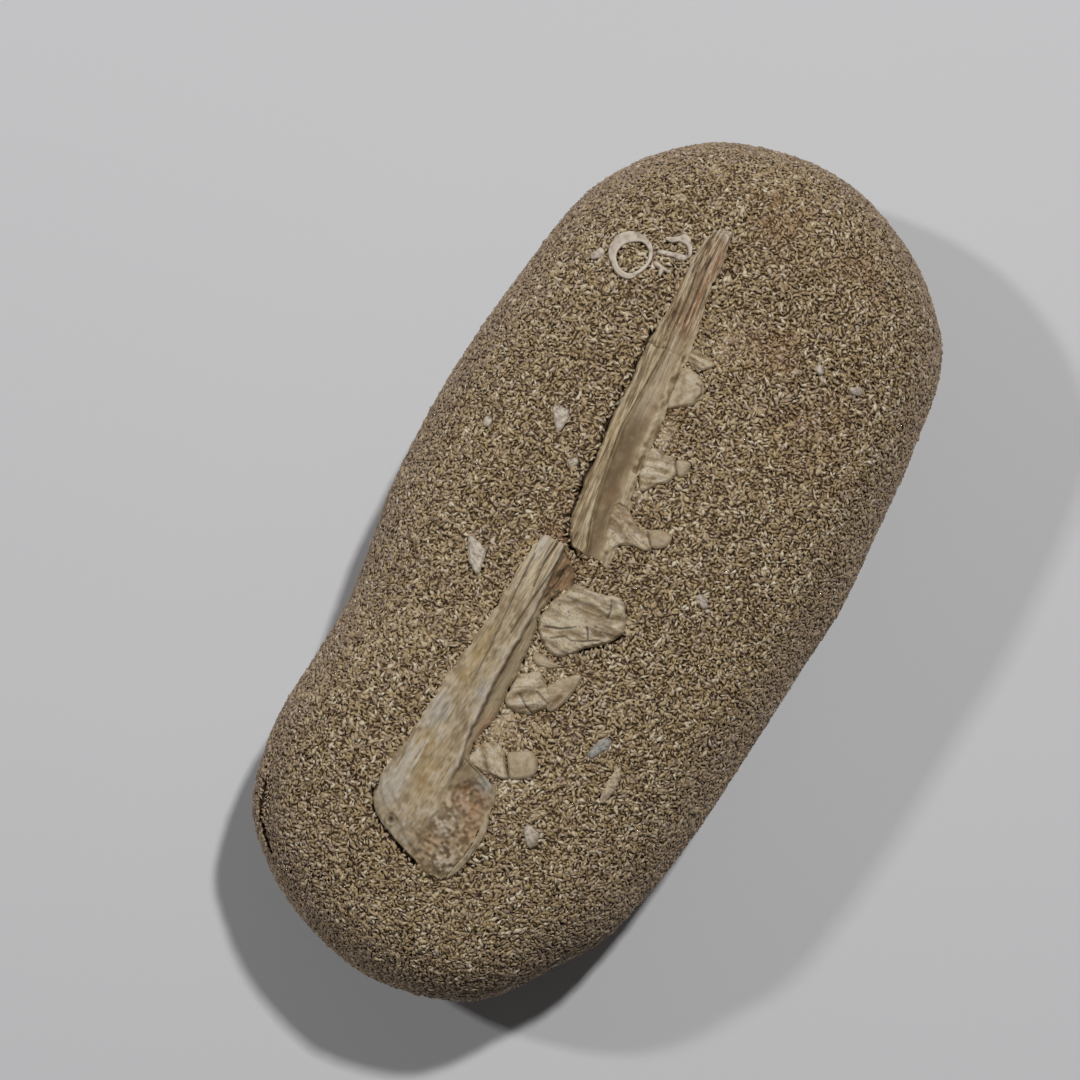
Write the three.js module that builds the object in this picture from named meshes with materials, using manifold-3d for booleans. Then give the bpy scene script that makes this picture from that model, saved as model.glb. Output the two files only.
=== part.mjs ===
// A fossil jaw in a loose sandstone cobble: two broken lengths of jawbone with their teeth,
// a shell tube cut across and other shell chips, all set in the domed top face of the stone.
// Sizes are millimetres. +Y runs along the stone to its front end, +X is the side of the teeth, +Z is up.

import * as THREE from "three";
import { mergeVertices } from "three/addons/utils/BufferGeometryUtils.js";
import Module from "manifold-3d";

const wasm = await Module();
wasm.setup();

// Driving sizes of the cobble
const THICKNESS = 42;
const WAIST = 18; // height of the widest contour above the ground
const SPINE_SHARE = 0.52; // length of the stone's flat ridge, as a share of its whole length
const DOME_POWER = 3.2; // above 2 the top is flatter in the middle and rounder at the rim
const FOOT_SHARE = 0.5; // half width of the flat resting patch, as a share of the stone's
const AROUND = 76; // facets round the stone
const LUMP_ROOM = 0.5; // room under the full thickness for the lumps of the top
const TOP_RINGS = 12;
const UNDER_RINGS = 7;

// Driving sizes of what is set in the stone
const GAP = 0.3; // clearance between a piece and its pocket
const BONE_DEPTH = 3; // how deep a bone or a tooth is set below the stone's face
const CHIP_DEPTH = 1.6; // the same for a shell chip
const CUT_HEIGHT = 6; // how far a cutter reaches above the stone's face

// The stone's widest contour, from its right side round by the front end
const CONTOUR = [
  [36.8, 15], [35.6, 30], [34.6, 42], [33.3, 51], [30.6, 59], [25.3, 65.4], [17.6, 71.1],
  [5.6, 75.5], [-5.6, 75.6], [-17.4, 72], [-25.4, 65.8], [-31.2, 58], [-34.2, 50], [-35.6, 40],
  [-37, 26], [-37.5, 12], [-36.7, -3], [-35, -13], [-33.1, -24], [-33.2, -36], [-33.4, -46],
  [-31.3, -55], [-27.6, -62.6], [-20.6, -68.8], [-11.2, -72.9], [0.3, -74.7], [12.5, -71.9],
  [19.2, -67.5], [25.1, -58.9], [30, -50.8], [32.6, -41], [34.4, -28], [35.6, -8], [36.2, 4],
];

// Bone edges as pairs of points, left edge then right edge, from the front end to the rear
const FRONT_BONE = [
  [[-10.4, 54.6], [-8.1, 54.8]],
  [[-11.2, 52.4], [-7.6, 52.2]],
  [[-11.5, 49.7], [-7, 49.4]],
  [[-11.4, 45.5], [-6.6, 45]],
  [[-11.1, 41.2], [-5.7, 41.2]],
  [[-10.9, 38.2], [-5, 38.2]],
  [[-11.1, 35.4], [-4.4, 35.3]],
  [[-11, 31.8], [-4.1, 31.4]],
  [[-10.5, 28], [-3.8, 27.6]],
  [[-10.2, 23.4], [-2.8, 23.6]],
  [[-9.9, 19.3], [-2.2, 19]],
  [[-9.2, 14.8], [-1.8, 14.6]],
  [[-8.8, 10.6], [-1.2, 11.4]],
  [[-8.2, 6], [-0.1, 8.4]],
  [[-7.6, 2.8], [0.7, 4.4]],
  [[-6.6, 1.1], [1.1, 1.6]],
  [[-5.6, -0.5], [1.3, -0.5]],
];
const REAR_BONE = [
  [[-10, -0.9], [-6, -1.4]],
  [[-10.3, -3.4], [-3, -3.8]],
  [[-10.6, -6.2], [-2.2, -6.2]],
  [[-10.7, -9], [-3.6, -9]],
  [[-10.7, -11.8], [-4.3, -11.8]],
  [[-10.8, -15.2], [-3.4, -15.2]],
  [[-11.1, -20.2], [-2.7, -20]],
  [[-11.6, -25.2], [-2.5, -25]],
  [[-11.8, -29.5], [-2.2, -29.4]],
  [[-12, -33.2], [-3, -33.2]],
  [[-12.1, -36.6], [-2.5, -36.6]],
  [[-12.2, -38.4], [1.6, -38.1]],
  [[-12.4, -40.4], [4, -39.7]],
  [[-12.9, -43], [4.5, -42.4]],
  [[-12.8, -46.4], [4.4, -46]],
  [[-12.4, -49.3], [4.2, -49.2]],
  [[-9.8, -51.6], [3.9, -51.6]],
  [[-5, -53.4], [3.5, -53.6]],
  [[-0.8, -54.5], [2.8, -54.7]],
];

// Each tooth: the outline of its root, then of its crown where one shows
const TEETH = {
  tooth_1: {
    root: [[-4.4, 35.5], [-1.6, 35.4], [-0.3, 34.7], [-1.1, 33.5], [-2.6, 32.8], [-4.3, 33.6]],
    rise: 0.5,
  },
  tooth_2: {
    root: [
      [-4, 32.2], [-2.3, 32.5], [-0.7, 31.7], [0.6, 30.5], [0.5, 28.9], [-0.3, 27.4],
      [-1.9, 26.1], [-3.1, 25.4], [-3.9, 27], [-4.1, 29.6],
    ],
    rise: 0.8,
  },
  tooth_3: {
    root: [
      [-2.2, 18.9], [-0.3, 18.8], [1.8, 19.2], [3.2, 17.3], [2.6, 15.3], [1.5, 14], [-0.2, 12.2],
      [-1.7, 13.8], [-2, 16],
    ],
    crown: [[2.1, 18.8], [2.7, 19.4], [4, 19.8], [4.5, 19.1], [4.3, 17.3], [3.3, 17]],
    rise: 0.7,
  },
  tooth_4: {
    root: [
      [-2.9, 7.8], [-2.3, 8.9], [-0.9, 8.8], [0.9, 7.8], [2.7, 6.9], [3.9, 7.5], [4.9, 6], [5.7, 5],
      [4.9, 4.3], [2.8, 4], [1.3, 3.4], [0, 2], [-1.8, 3.6], [-2.4, 5.8],
    ],
    crown: [[3.9, 7.2], [5.1, 8.3], [6.8, 8.5], [7.6, 7.9], [7.4, 6.5], [6, 5.4], [4.9, 5.7]],
    rise: 0.7,
  },
  tooth_5: {
    root: [
      [-2.5, -7.4], [-1.8, -5.5], [0.6, -5.1], [3.1, -4.5], [5.1, -3.8], [6.7, -4.6], [7.6, -6.3],
      [8.3, -7.8], [8.2, -8.9], [6.8, -11.1], [4.5, -13.4], [3.1, -15.2], [1.5, -16.5],
      [-0.8, -16.4], [-2.6, -15.2], [-3.9, -13.4], [-3.8, -11.2], [-3.4, -9.2],
    ],
    rise: 1,
  },
  tooth_6: {
    root: [
      [-2.5, -22.3], [-1.4, -21], [0, -19.9], [1.3, -20.4], [3.1, -21.8], [4.1, -23], [3.8, -24.4],
      [1.8, -26.5], [-0.2, -27.1], [-2.1, -26.5], [-2.5, -24.4],
    ],
    crown: [
      [2.3, -21.4], [3.4, -19.5], [4.7, -17.9], [5.9, -17.1], [6.3, -18.4], [6.1, -21],
      [5.2, -23.8], [4.2, -24.4], [3.2, -23.4],
    ],
    rise: 0.8,
  },
  tooth_7: {
    root: [
      [-2.4, -37.2], [-2.3, -34.9], [-1.3, -33.1], [-0.3, -32.4], [1.3, -32.9], [2.9, -34.6],
      [4.2, -36.4], [1.6, -37.3],
    ],
    crown: [
      [2.2, -33.1], [3.2, -32.2], [5.2, -31], [5.9, -31.2], [6.8, -31.8], [7.4, -33.2],
      [7.1, -34.5], [5.4, -35.9], [4.3, -36.2], [3.2, -34.8],
    ],
    rise: 0.8,
  },
};
const SCRAP_6 = [[-2, -18.4], [-1, -17.4], [0.6, -17.6], [2.3, -17.6], [1.6, -18.6], [-0.6, -19.3]];
const WALL_8 = [
  [4.3, -42.8], [5.3, -44.4], [5.4, -47.1], [5.2, -50], [4.6, -52.8], [3.7, -54.4], [3.5, -53.4],
  [4.1, -51], [4.4, -48], [4.4, -45.4],
];

// The cut shell tube: its outer and inner edges and how high its wall stands
const SHELL_RING = {
  centre: [-20.6, 44],
  outer: [3.6, 3.8], // half width and half length
  hollow: [-20.1, 43.8], // the hollow sits off centre, so the wall is thicker on one side
  inner: [2.45, 2.8],
  rise: 0.5,
};
const SHELL_SCOOP = [
  [-17, 49.2], [-15.7, 49.5], [-14.5, 51], [-13.2, 50.4], [-12.1, 49.3], [-11.6, 48], [-12.9, 46.9],
  [-14.4, 46.5], [-16, 46.2], [-17, 46.1], [-16.9, 46.7], [-15.8, 47.4], [-14.2, 47.8],
  [-13, 48.5], [-13.5, 49.5], [-14.6, 49.3], [-15.6, 48.5], [-16.7, 48.6],
];
const SHELL_SPLINTER = [
  [-16.6, 44.2], [-16.3, 45.1], [-15.7, 45], [-14.9, 44.7], [-13.4, 44.7], [-13.5, 44.1],
  [-14.3, 43.8], [-14.3, 42.9], [-14.9, 42.9], [-15.2, 43.6],
];

// Loose chips in the face: outline and how far the chip stands proud
const CHIPS = {
  shell_chip_1: {
    outline: [[-18.7, 16.9], [-16.8, 17.7], [-15.9, 16.7], [-15.8, 14], [-17.1, 14.5]],
    rise: 0.4,
  },
  shell_chip_2: {
    outline: [[-19.9, -7.3], [-18.6, -6.9], [-16.3, -8.2], [-15.8, -10], [-15.6, -11.7], [-17.8, -10.6]],
    rise: 0.5,
  },
  shell_chip_3: {
    outline: [[10, -41.5], [11.2, -40.9], [12.6, -41.4], [12.6, -43.8], [11.1, -43.3]],
    rise: 0.4,
  },
  bone_splinter: {
    outline: [
      [18.3, -26.3], [19.1, -28.4], [19.1, -30.6], [18.7, -32.4], [17.9, -32.2], [17.6, -29.8],
      [17.7, -27.4],
    ],
    rise: 0.35,
  },
  bone_scrap: {
    outline: [[13.3, -24.6], [14.5, -23.2], [15.2, -24.4], [13.8, -27.2], [12.7, -27.2]],
    rise: 0.3,
  },
};

// Small shell flecks: middle, half length and half width of each, and the way it points in degrees
const FLECKS = [
  { at: [-25.1, 42], size: [1.2, 0.8], turn: 60 },
  { at: [20.9, 43], size: [1.1, 0.7], turn: 20 },
  { at: [14.3, 42.7], size: [0.9, 0.6], turn: 120 },
  { at: [16.4, 2.1], size: [1.3, 0.7], turn: 150 },
  { at: [-11.6, 10.8], size: [0.9, 0.6], turn: 40 },
  { at: [-26.7, 10.2], size: [0.9, 0.7], turn: 80 },
];
const FLECK_SIDES = 7;
const FLECK_RISE = 0.3;

// Finishes
const SANDSTONE = { color: 0x7f7059, roughness: 0.95, metalness: 0 };
const BONE = { color: 0xa8926f, roughness: 0.7, metalness: 0 };
const TOOTH = { color: 0xb3a684, roughness: 0.5, metalness: 0 };
const SHELL = { color: 0xbfb4a6, roughness: 0.6, metalness: 0 };
const PINK_BONE = { color: 0xb59a86, roughness: 0.65, metalness: 0 };
const BLUE_BONE = { color: 0x8f8f8c, roughness: 0.7, metalness: 0 };

// Small helpers

const mix = (a, b, t) => a + (b - a) * t;
const bump = (x, middle, width) => Math.exp(-(((x - middle) / width) ** 2));
const smooth = (x, low, high) => THREE.MathUtils.smoothstep(x, low, high);

// A closed polygon redrawn as an even, rounded loop of so many points
function rounded(points, count) {
  const corners = points.map(([x, y]) => new THREE.Vector3(x, y, 0));
  const loop = new THREE.CatmullRomCurve3(corners, true, "catmullrom", 0.5);
  return loop.getSpacedPoints(count).slice(0, count).map((p) => [p.x, p.y]);
}

function signedArea(points) {
  return THREE.ShapeUtils.area(points.map(([x, y]) => new THREE.Vector2(x, y)));
}

// The polygon with every side moved outwards by a distance
function grown(points, distance) {
  const side = Math.sign(signedArea(points));
  return points.map((here, i) => {
    const before = points[(i + points.length - 1) % points.length];
    const after = points[(i + 1) % points.length];
    const a = new THREE.Vector2(here[0] - before[0], here[1] - before[1]).normalize();
    const b = new THREE.Vector2(after[0] - here[0], after[1] - here[1]).normalize();
    const out = new THREE.Vector2(a.y + b.y, -a.x - b.x).normalize();
    const reach = (side * distance) / Math.max(0.6, Math.abs(out.x * a.y - out.y * a.x));
    return [here[0] + out.x * reach, here[1] + out.y * reach];
  });
}

// Triangles over one ring of 3-D points, seen along the axis that it faces most
function capTriangles(ring) {
  const facing = new THREE.Vector3();
  ring.forEach((p, i) => {
    const q = ring[(i + 1) % ring.length];
    facing.x += (p[1] - q[1]) * (p[2] + q[2]);
    facing.y += (p[2] - q[2]) * (p[0] + q[0]);
    facing.z += (p[0] - q[0]) * (p[1] + q[1]);
  });
  const sizes = facing.toArray().map(Math.abs);
  const drop = sizes.indexOf(Math.max(...sizes));
  const flat = ring.map((p) => new THREE.Vector2(...p.filter((_, axis) => axis !== drop)));
  const turn = Math.sign(THREE.ShapeUtils.area(flat));
  return THREE.ShapeUtils.triangulateShape(flat, []).map((t) => {
    const corner = Math.sign(THREE.ShapeUtils.area(t.map((i) => flat[i])));
    return corner === turn ? t : [t[0], t[2], t[1]];
  });
}

// A solid from its vertices and triangles, turned the right way out
function solidOf(vertices, triangles) {
  let volume = 0;
  const a = new THREE.Vector3();
  const b = new THREE.Vector3();
  const c = new THREE.Vector3();
  for (const [i, j, k] of triangles) {
    volume += a.fromArray(vertices[i]).dot(b.fromArray(vertices[j]).cross(c.fromArray(vertices[k])));
  }
  const facing = volume > 0 ? triangles : triangles.map(([i, j, k]) => [i, k, j]);
  return new wasm.Manifold(
    new wasm.Mesh({
      numProp: 3,
      vertProperties: new Float32Array(vertices.flat()),
      triVerts: new Uint32Array(facing.flat()),
    }),
  );
}

// A skin over rings of equal length: open ends get a cap, and a wrapped skin joins last to first
function skin(rings, wrapped = false) {
  const count = rings[0].length;
  const vertices = rings.flat();
  const triangles = [];
  const last = wrapped ? rings.length : rings.length - 1;
  for (let r = 0; r < last; r += 1) {
    const here = r * count;
    const next = ((r + 1) % rings.length) * count;
    for (let i = 0; i < count; i += 1) {
      const j = (i + 1) % count;
      triangles.push([here + i, here + j, next + j], [here + i, next + j, next + i]);
    }
  }
  if (!wrapped) {
    const top = (rings.length - 1) * count;
    capTriangles(rings[0]).forEach(([i, j, k]) => triangles.push([i, k, j]));
    const lid = capTriangles(rings[rings.length - 1]);
    lid.forEach(([i, j, k]) => triangles.push([top + i, top + j, top + k]));
  }
  return solidOf(vertices, triangles);
}

// A straight-walled block over an outline, from one height to another
function block(outline, low, high) {
  const shape = new THREE.Shape(outline.map(([x, y]) => new THREE.Vector2(x, y)));
  const plain = new THREE.ExtrudeGeometry(shape, { depth: high - low, bevelEnabled: false });
  plain.translate(0, 0, low);
  plain.deleteAttribute("normal");
  plain.deleteAttribute("uv");
  const merged = mergeVertices(plain, 1e-4);
  const flat = Array.from(merged.attributes.position.array);
  const index = Array.from(merged.index.array);
  const threes = (list) => list.flatMap((_, i) => (i % 3 === 0 ? [list.slice(i, i + 3)] : []));
  return solidOf(threes(flat), threes(index));
}

// The cobble's form

const contour = rounded(CONTOUR, AROUND);
const bearings = rounded(CONTOUR, 720)
  .map(([x, y]) => [Math.atan2(y, x), Math.hypot(x, y)])
  .sort((a, b) => a[0] - b[0]);

// Distance from the middle to the widest contour, in the direction of a point
function contourReach(x, y) {
  const bearing = Math.atan2(y, x);
  const next = bearings.findIndex(([angle]) => angle > bearing);
  if (next <= 0) return bearings[0][1];
  const [lowAngle, lowReach] = bearings[next - 1];
  const [highAngle, highReach] = bearings[next];
  return mix(lowReach, highReach, (bearing - lowAngle) / (highAngle - lowAngle));
}

// Smaller copies of the contour are narrower by the share, and shorten only towards the spine
const shrunk = ([x, y], share) => [x * share, y * mix(SPINE_SHARE, 1, share)];

// The share of the copy that passes through a point
function shareAt(x, y) {
  let low = 0.01;
  let high = 1;
  for (let step = 0; step < 24; step += 1) {
    const share = (low + high) / 2;
    const fullX = x / share;
    const fullY = y / mix(SPINE_SHARE, 1, share);
    if (Math.hypot(fullX, fullY) > contourReach(fullX, fullY)) low = share;
    else high = share;
  }
  return high;
}

const domeHeight = (share) => {
  const rise = Math.sqrt(Math.max(0, 1 - share ** DOME_POWER));
  return mix(WAIST, THICKNESS - LUMP_ROOM, rise);
};

// Wear of the top: broad lumps, and a slope down at the rear left
function topWear(x, y, height) {
  const upper = THREE.MathUtils.clamp((height - WAIST) / (THICKNESS - WAIST), 0, 1);
  const broad = 0.3 * Math.sin(x / 8.5 + 1.1) * Math.cos(y / 13 + 0.3);
  const lumps = broad + 0.2 * Math.sin(x / 4.7 - y / 6.1);
  const slope = 2.6 * bump(x, -20, 17) * bump(y, -64, 19);
  return upper * (lumps - slope);
}

// Height of the stone's face over a point of its top
function faceHeight(x, y) {
  const dome = domeHeight(shareAt(x, y));
  return dome + topWear(x, y, dome);
}

// Wear of the sides: a flaked ledge low on the left, a shallow dent on the right, lumps below
function sideWear(x, y, height) {
  const along = bump(Math.hypot(x + 29.5, y + 58), 0, 7);
  const lip = 0.9 * (1 - smooth(height, 25, 27.5)) * smooth(height, 8, 16);
  const ledge = along * (lip - 0.7 * bump(height, 28.5, 2.5));
  const dent = -0.5 * bump(x, 33.5, 5) * bump(y, 46, 5) * bump(height, WAIST, 8);
  const below = THREE.MathUtils.clamp(1 - height / WAIST, 0, 1) * smooth(height, 0, 4);
  const bearing = Math.atan2(y, x);
  const lumps = 1.1 * Math.sin(5 * bearing + 0.8) + 0.8 * Math.sin(9 * bearing + height / 3);
  return ledge + dent + below * lumps;
}

function worn([x, y], height) {
  const push = 1 + sideWear(x, y, height) / Math.hypot(x, y);
  return [x * push, y * push, height + topWear(x, y, height)];
}

function cobble() {
  const rings = [];
  for (let r = 0; r <= UNDER_RINGS; r += 1) {
    const angle = (Math.PI / 2) * (1 - r / UNDER_RINGS);
    const share = mix(FOOT_SHARE, 1, Math.cos(angle) ** 0.9);
    const height = WAIST * (1 - Math.sin(angle));
    rings.push(contour.map((p) => worn(shrunk(p, share), height)));
  }
  for (let r = 1; r < TOP_RINGS; r += 1) {
    const angle = (Math.PI / 2) * (1 - r / TOP_RINGS);
    const share = Math.sin(angle) ** (2 / DOME_POWER);
    rings.push(contour.map((p) => worn(shrunk(p, share), domeHeight(share))));
  }
  return skin(rings);
}

// Bones

const outlineOf = (pairs) => [...pairs.map((p) => p[0]), ...pairs.map((p) => p[1]).reverse()];

// The pairs with one more between each two of them
function doubled(pairs) {
  const middle = (p, q) => p.map((end, e) => end.map((v, axis) => (v + q[e][axis]) / 2));
  return pairs.flatMap((p, i) => (i + 1 < pairs.length ? [p, middle(p, pairs[i + 1])] : [p]));
}

// A bone's relief is given across it from 0, left, to 1, right, and along it from 0 to 1
function bone(pairs, acrossSteps, floor, relief) {
  const stations = doubled(pairs);
  const rings = stations.map(([left, right], s) => {
    const along = s / (stations.length - 1);
    const top = acrossSteps.map((across) => {
      const x = mix(left[0], right[0], across);
      const y = mix(left[1], right[1], across);
      return [x, y, faceHeight(x, y) + relief(across, along, x, y)];
    });
    return [[left[0], left[1], floor], ...top, [right[0], right[1], floor]];
  });
  return skin(rings);
}

// Front length: a striated ridge on the left, a smooth groove, a low tooth margin on the right
function frontRelief(across, along, x, y) {
  const edge = 0.3 * (1 - smooth(across, 0, 0.12));
  const ridge = (0.7 + 0.15 * bump(across, 0.24, 0.12) - edge) * (1 - smooth(across, 0.34, 0.5));
  const margin = 0.6 * bump(across, 0.86, 0.1);
  const tip = mix(1, 0.7, smooth(y, 33, 39));
  const crossCrack = -0.2 * bump(y, 33, 0.9);
  return 0.25 + tip * (ridge + margin) + crossCrack;
}

// Rear length: a raised plate on the left, a furrow beside it, then the wide hollowed end
function rearRelief(across, along, x, y) {
  const stepX = mix(-5.2, -3.6, smooth(-y, 22, 44));
  const left = 0.35 * smooth(across, 0, 0.1);
  const plate = 0.4 * (1 - smooth(x - stepX, -0.3, 0.5));
  const margin = 0.25 * bump(across, 0.94, 0.06) * (1 - smooth(-y, 38, 44));
  const socket = -0.9 * bump(Math.hypot(x - 0.6, y + 41.9), 0, 2);
  const upperKnob = 0.6 * bump(Math.hypot(x + 0.8, y + 47.3), 0, 1.7);
  const lowerKnob = 0.6 * bump(Math.hypot(x - 2, y + 51.3), 0, 1.7);
  const foramen = -0.5 * bump(Math.hypot(x + 8.2, y + 50.8), 0, 0.8);
  return 0.2 + left + plate + margin + socket + upperKnob + lowerKnob + foramen;
}

// Mounds: teeth and chips, which rise from a flat base under a rounded outline

function mound(outline, floor, rise, levels) {
  const mean = (axis) => outline.reduce((sum, p) => sum + p[axis], 0) / outline.length;
  const middle = [mean(0), mean(1)];
  const rings = [outline.map(([x, y]) => [x, y, floor])];
  for (const [share, height] of levels) {
    rings.push(
      outline.map(([px, py]) => {
        const x = mix(middle[0], px, share);
        const y = mix(middle[1], py, share);
        return [x, y, faceHeight(x, y) + rise * height];
      }),
    );
  }
  return skin(rings);
}

const TOOTH_LEVELS = [[1, 0.25], [0.88, 0.7], [0.6, 0.95], [0.2, 1]];
const CHIP_LEVELS = [[1, 0.3], [0.7, 1]];

// The tube's wall as a ring of sections, each with a rounded upper edge
function hoop({ centre, outer, hollow, inner, rise }, floor, sections) {
  const rings = Array.from({ length: sections }, (_, i) => {
    const angle = (2 * Math.PI * i) / sections;
    const out = [centre[0] + outer[0] * Math.cos(angle), centre[1] + outer[1] * Math.sin(angle)];
    const into = [hollow[0] + inner[0] * Math.cos(angle), hollow[1] + inner[1] * Math.sin(angle)];
    const point = (share, height) => {
      const x = mix(into[0], out[0], share);
      const y = mix(into[1], out[1], share);
      return [x, y, faceHeight(x, y) + height];
    };
    const wall = [point(0, 0.2), point(0.35, rise), point(0.7, rise), point(1, 0.2)];
    return [[...into, floor], ...wall, [...out, floor]];
  });
  return skin(rings, true);
}

function ellipse([x, y], [halfX, halfY], count, turn = 0) {
  return Array.from({ length: count }, (_, i) => {
    const angle = (2 * Math.PI * i) / count;
    const along = halfX * Math.cos(angle);
    const across = halfY * Math.sin(angle);
    return [
      x + along * Math.cos(turn) - across * Math.sin(turn),
      y + along * Math.sin(turn) + across * Math.cos(turn),
    ];
  });
}

// Pieces in the order in which they claim their room: a later piece gives way to an earlier one

const pieces = [];

function lowestFace(outline) {
  return Math.min(...outline.map(([x, y]) => faceHeight(x, y)));
}

// Room for one piece: its outline grown by the gap, down to just under its floor
function pocket(outline, floor) {
  return block(grown(outline, GAP), floor - GAP, THICKNESS + CUT_HEIGHT);
}

function settle(name, solid, room, finish) {
  const fitted = pieces.reduce((left, other) => left.subtract(other.room), solid);
  pieces.push({ name, solid: fitted, room, finish });
}

for (const [name, { root, crown, rise }] of Object.entries(TEETH)) {
  const rootLoop = rounded(root, 14);
  const floor = lowestFace(rootLoop) - BONE_DEPTH;
  let solid = mound(rootLoop, floor, rise, TOOTH_LEVELS);
  let room = pocket(rootLoop, floor);
  if (crown) {
    const crownLoop = rounded(crown, 12);
    solid = solid.add(mound(crownLoop, floor, rise * 0.9, TOOTH_LEVELS));
    room = room.add(pocket(crownLoop, floor));
  }
  settle(name, solid, room, TOOTH);
}

const scrapLoop = rounded(SCRAP_6, 10);
const scrapFloor = lowestFace(scrapLoop) - BONE_DEPTH;
const scrap = mound(scrapLoop, scrapFloor, 0.5, CHIP_LEVELS);
settle("tooth_6_scrap", scrap, pocket(scrapLoop, scrapFloor), TOOTH);

const wallFloor = lowestFace(WALL_8) - BONE_DEPTH;
settle("tooth_8_wall", mound(WALL_8, wallFloor, 0.8, [[1, 1]]), pocket(WALL_8, wallFloor), TOOTH);

const frontFloor = lowestFace(outlineOf(FRONT_BONE)) - BONE_DEPTH;
const frontAcross = [0, 0.08, 0.24, 0.4, 0.5, 0.64, 0.78, 0.88, 1];
const frontSolid = bone(FRONT_BONE, frontAcross, frontFloor, frontRelief);
settle("jaw_front", frontSolid, pocket(outlineOf(FRONT_BONE), frontFloor), BONE);

const rearFloor = lowestFace(outlineOf(REAR_BONE)) - BONE_DEPTH;
const rearAcross = [0, 0.08, 0.2, 0.34, 0.46, 0.56, 0.66, 0.76, 0.86, 0.94, 1];
const rearSolid = bone(REAR_BONE, rearAcross, rearFloor, rearRelief);
settle("jaw_rear", rearSolid, pocket(outlineOf(REAR_BONE), rearFloor), BONE);

const ringSections = 16;
const ringOuter = ellipse(SHELL_RING.centre, SHELL_RING.outer, ringSections);
const ringInner = ellipse(SHELL_RING.hollow, SHELL_RING.inner, ringSections);
const ringFloor = lowestFace(ringOuter) - CHIP_DEPTH;
const sandPlug = block(grown(ringInner, -GAP), ringFloor - 2 * GAP, THICKNESS + 2 * CUT_HEIGHT);
const ringRoom = pocket(ringOuter, ringFloor).subtract(sandPlug);
settle("shell_ring", hoop(SHELL_RING, ringFloor, ringSections), ringRoom, SHELL);

const shellBands = [["shell_scoop", SHELL_SCOOP, 0.5], ["shell_splinter", SHELL_SPLINTER, 0.4]];
for (const [name, outline, rise] of shellBands) {
  const floor = lowestFace(outline) - CHIP_DEPTH;
  settle(name, mound(outline, floor, rise, [[1, 1]]), pocket(outline, floor), SHELL);
}

const chipFinish = { bone_splinter: PINK_BONE, bone_scrap: BLUE_BONE };
for (const [name, { outline, rise }] of Object.entries(CHIPS)) {
  const floor = lowestFace(outline) - CHIP_DEPTH;
  settle(name, mound(outline, floor, rise, CHIP_LEVELS), pocket(outline, floor), chipFinish[name] ?? SHELL);
}

FLECKS.forEach(({ at, size, turn }, i) => {
  const outline = ellipse(at, size, FLECK_SIDES, THREE.MathUtils.degToRad(turn));
  const floor = lowestFace(outline) - CHIP_DEPTH;
  const solid = mound(outline, floor, FLECK_RISE, CHIP_LEVELS);
  settle("shell_fleck_" + (i + 1), solid, pocket(outline, floor), SHELL);
});

const stone = pieces.reduce((left, piece) => left.subtract(piece.room), cobble());

// The specimen as a group of named meshes, its box centred over the origin

function meshOf(name, solid, finish) {
  const { numProp, vertProperties, triVerts } = solid.getMesh();
  const geometry = new THREE.BufferGeometry();
  geometry.setAttribute("position", new THREE.BufferAttribute(vertProperties, numProp));
  geometry.setIndex(new THREE.BufferAttribute(triVerts, 1));
  geometry.computeVertexNormals();
  const mesh = new THREE.Mesh(geometry, new THREE.MeshStandardMaterial(finish));
  mesh.name = name;
  return mesh;
}

const group = new THREE.Group();
const stoneMesh = meshOf("sandstone_cobble", stone, SANDSTONE);
group.add(stoneMesh);
pieces.forEach(({ name, solid, finish }) => group.add(meshOf(name, solid, finish)));

stoneMesh.geometry.computeBoundingBox();
const middle = stoneMesh.geometry.boundingBox.getCenter(new THREE.Vector3());
group.position.set(-middle.x, -middle.y, 0);

export default group;
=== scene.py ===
"""The surfaces of a fossil jaw in a sandstone cobble, laid out as an add-on and run as a script."""

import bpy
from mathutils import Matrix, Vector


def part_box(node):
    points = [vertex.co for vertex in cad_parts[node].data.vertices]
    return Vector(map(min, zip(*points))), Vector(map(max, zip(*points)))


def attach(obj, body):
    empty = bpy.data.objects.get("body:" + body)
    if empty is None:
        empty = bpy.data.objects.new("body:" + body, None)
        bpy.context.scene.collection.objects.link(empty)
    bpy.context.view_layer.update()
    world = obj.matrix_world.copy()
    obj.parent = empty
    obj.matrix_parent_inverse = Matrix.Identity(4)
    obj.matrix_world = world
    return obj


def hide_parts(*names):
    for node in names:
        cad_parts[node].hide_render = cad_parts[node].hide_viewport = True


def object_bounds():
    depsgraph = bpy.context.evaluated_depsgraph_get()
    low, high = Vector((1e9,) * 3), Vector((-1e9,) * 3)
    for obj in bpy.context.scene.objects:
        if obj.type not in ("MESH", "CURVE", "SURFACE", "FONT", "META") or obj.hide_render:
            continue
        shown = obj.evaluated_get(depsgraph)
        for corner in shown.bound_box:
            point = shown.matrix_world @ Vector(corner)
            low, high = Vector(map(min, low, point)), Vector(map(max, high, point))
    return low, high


bl_info = {
    "name": "Fossil jaw in sandstone",
    "version": (1, 0, 0),
    "blender": (4, 5, 0),
    "location": "View3D > Sidebar > Fossil",
    "description": "Builds the grainy cobble, the jawbone, its teeth and the shells round the packed frame",
    "category": "Object",
}

import math
from functools import reduce

import bmesh
import bpy
import numpy as np
from mathutils import Matrix, Vector

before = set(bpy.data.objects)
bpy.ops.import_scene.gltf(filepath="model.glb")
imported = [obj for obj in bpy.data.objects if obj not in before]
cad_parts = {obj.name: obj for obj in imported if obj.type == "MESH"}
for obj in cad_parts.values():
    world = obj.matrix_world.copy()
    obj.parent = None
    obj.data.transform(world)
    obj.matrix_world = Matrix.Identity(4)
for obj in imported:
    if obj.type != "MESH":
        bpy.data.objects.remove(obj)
cad_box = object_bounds()

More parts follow.
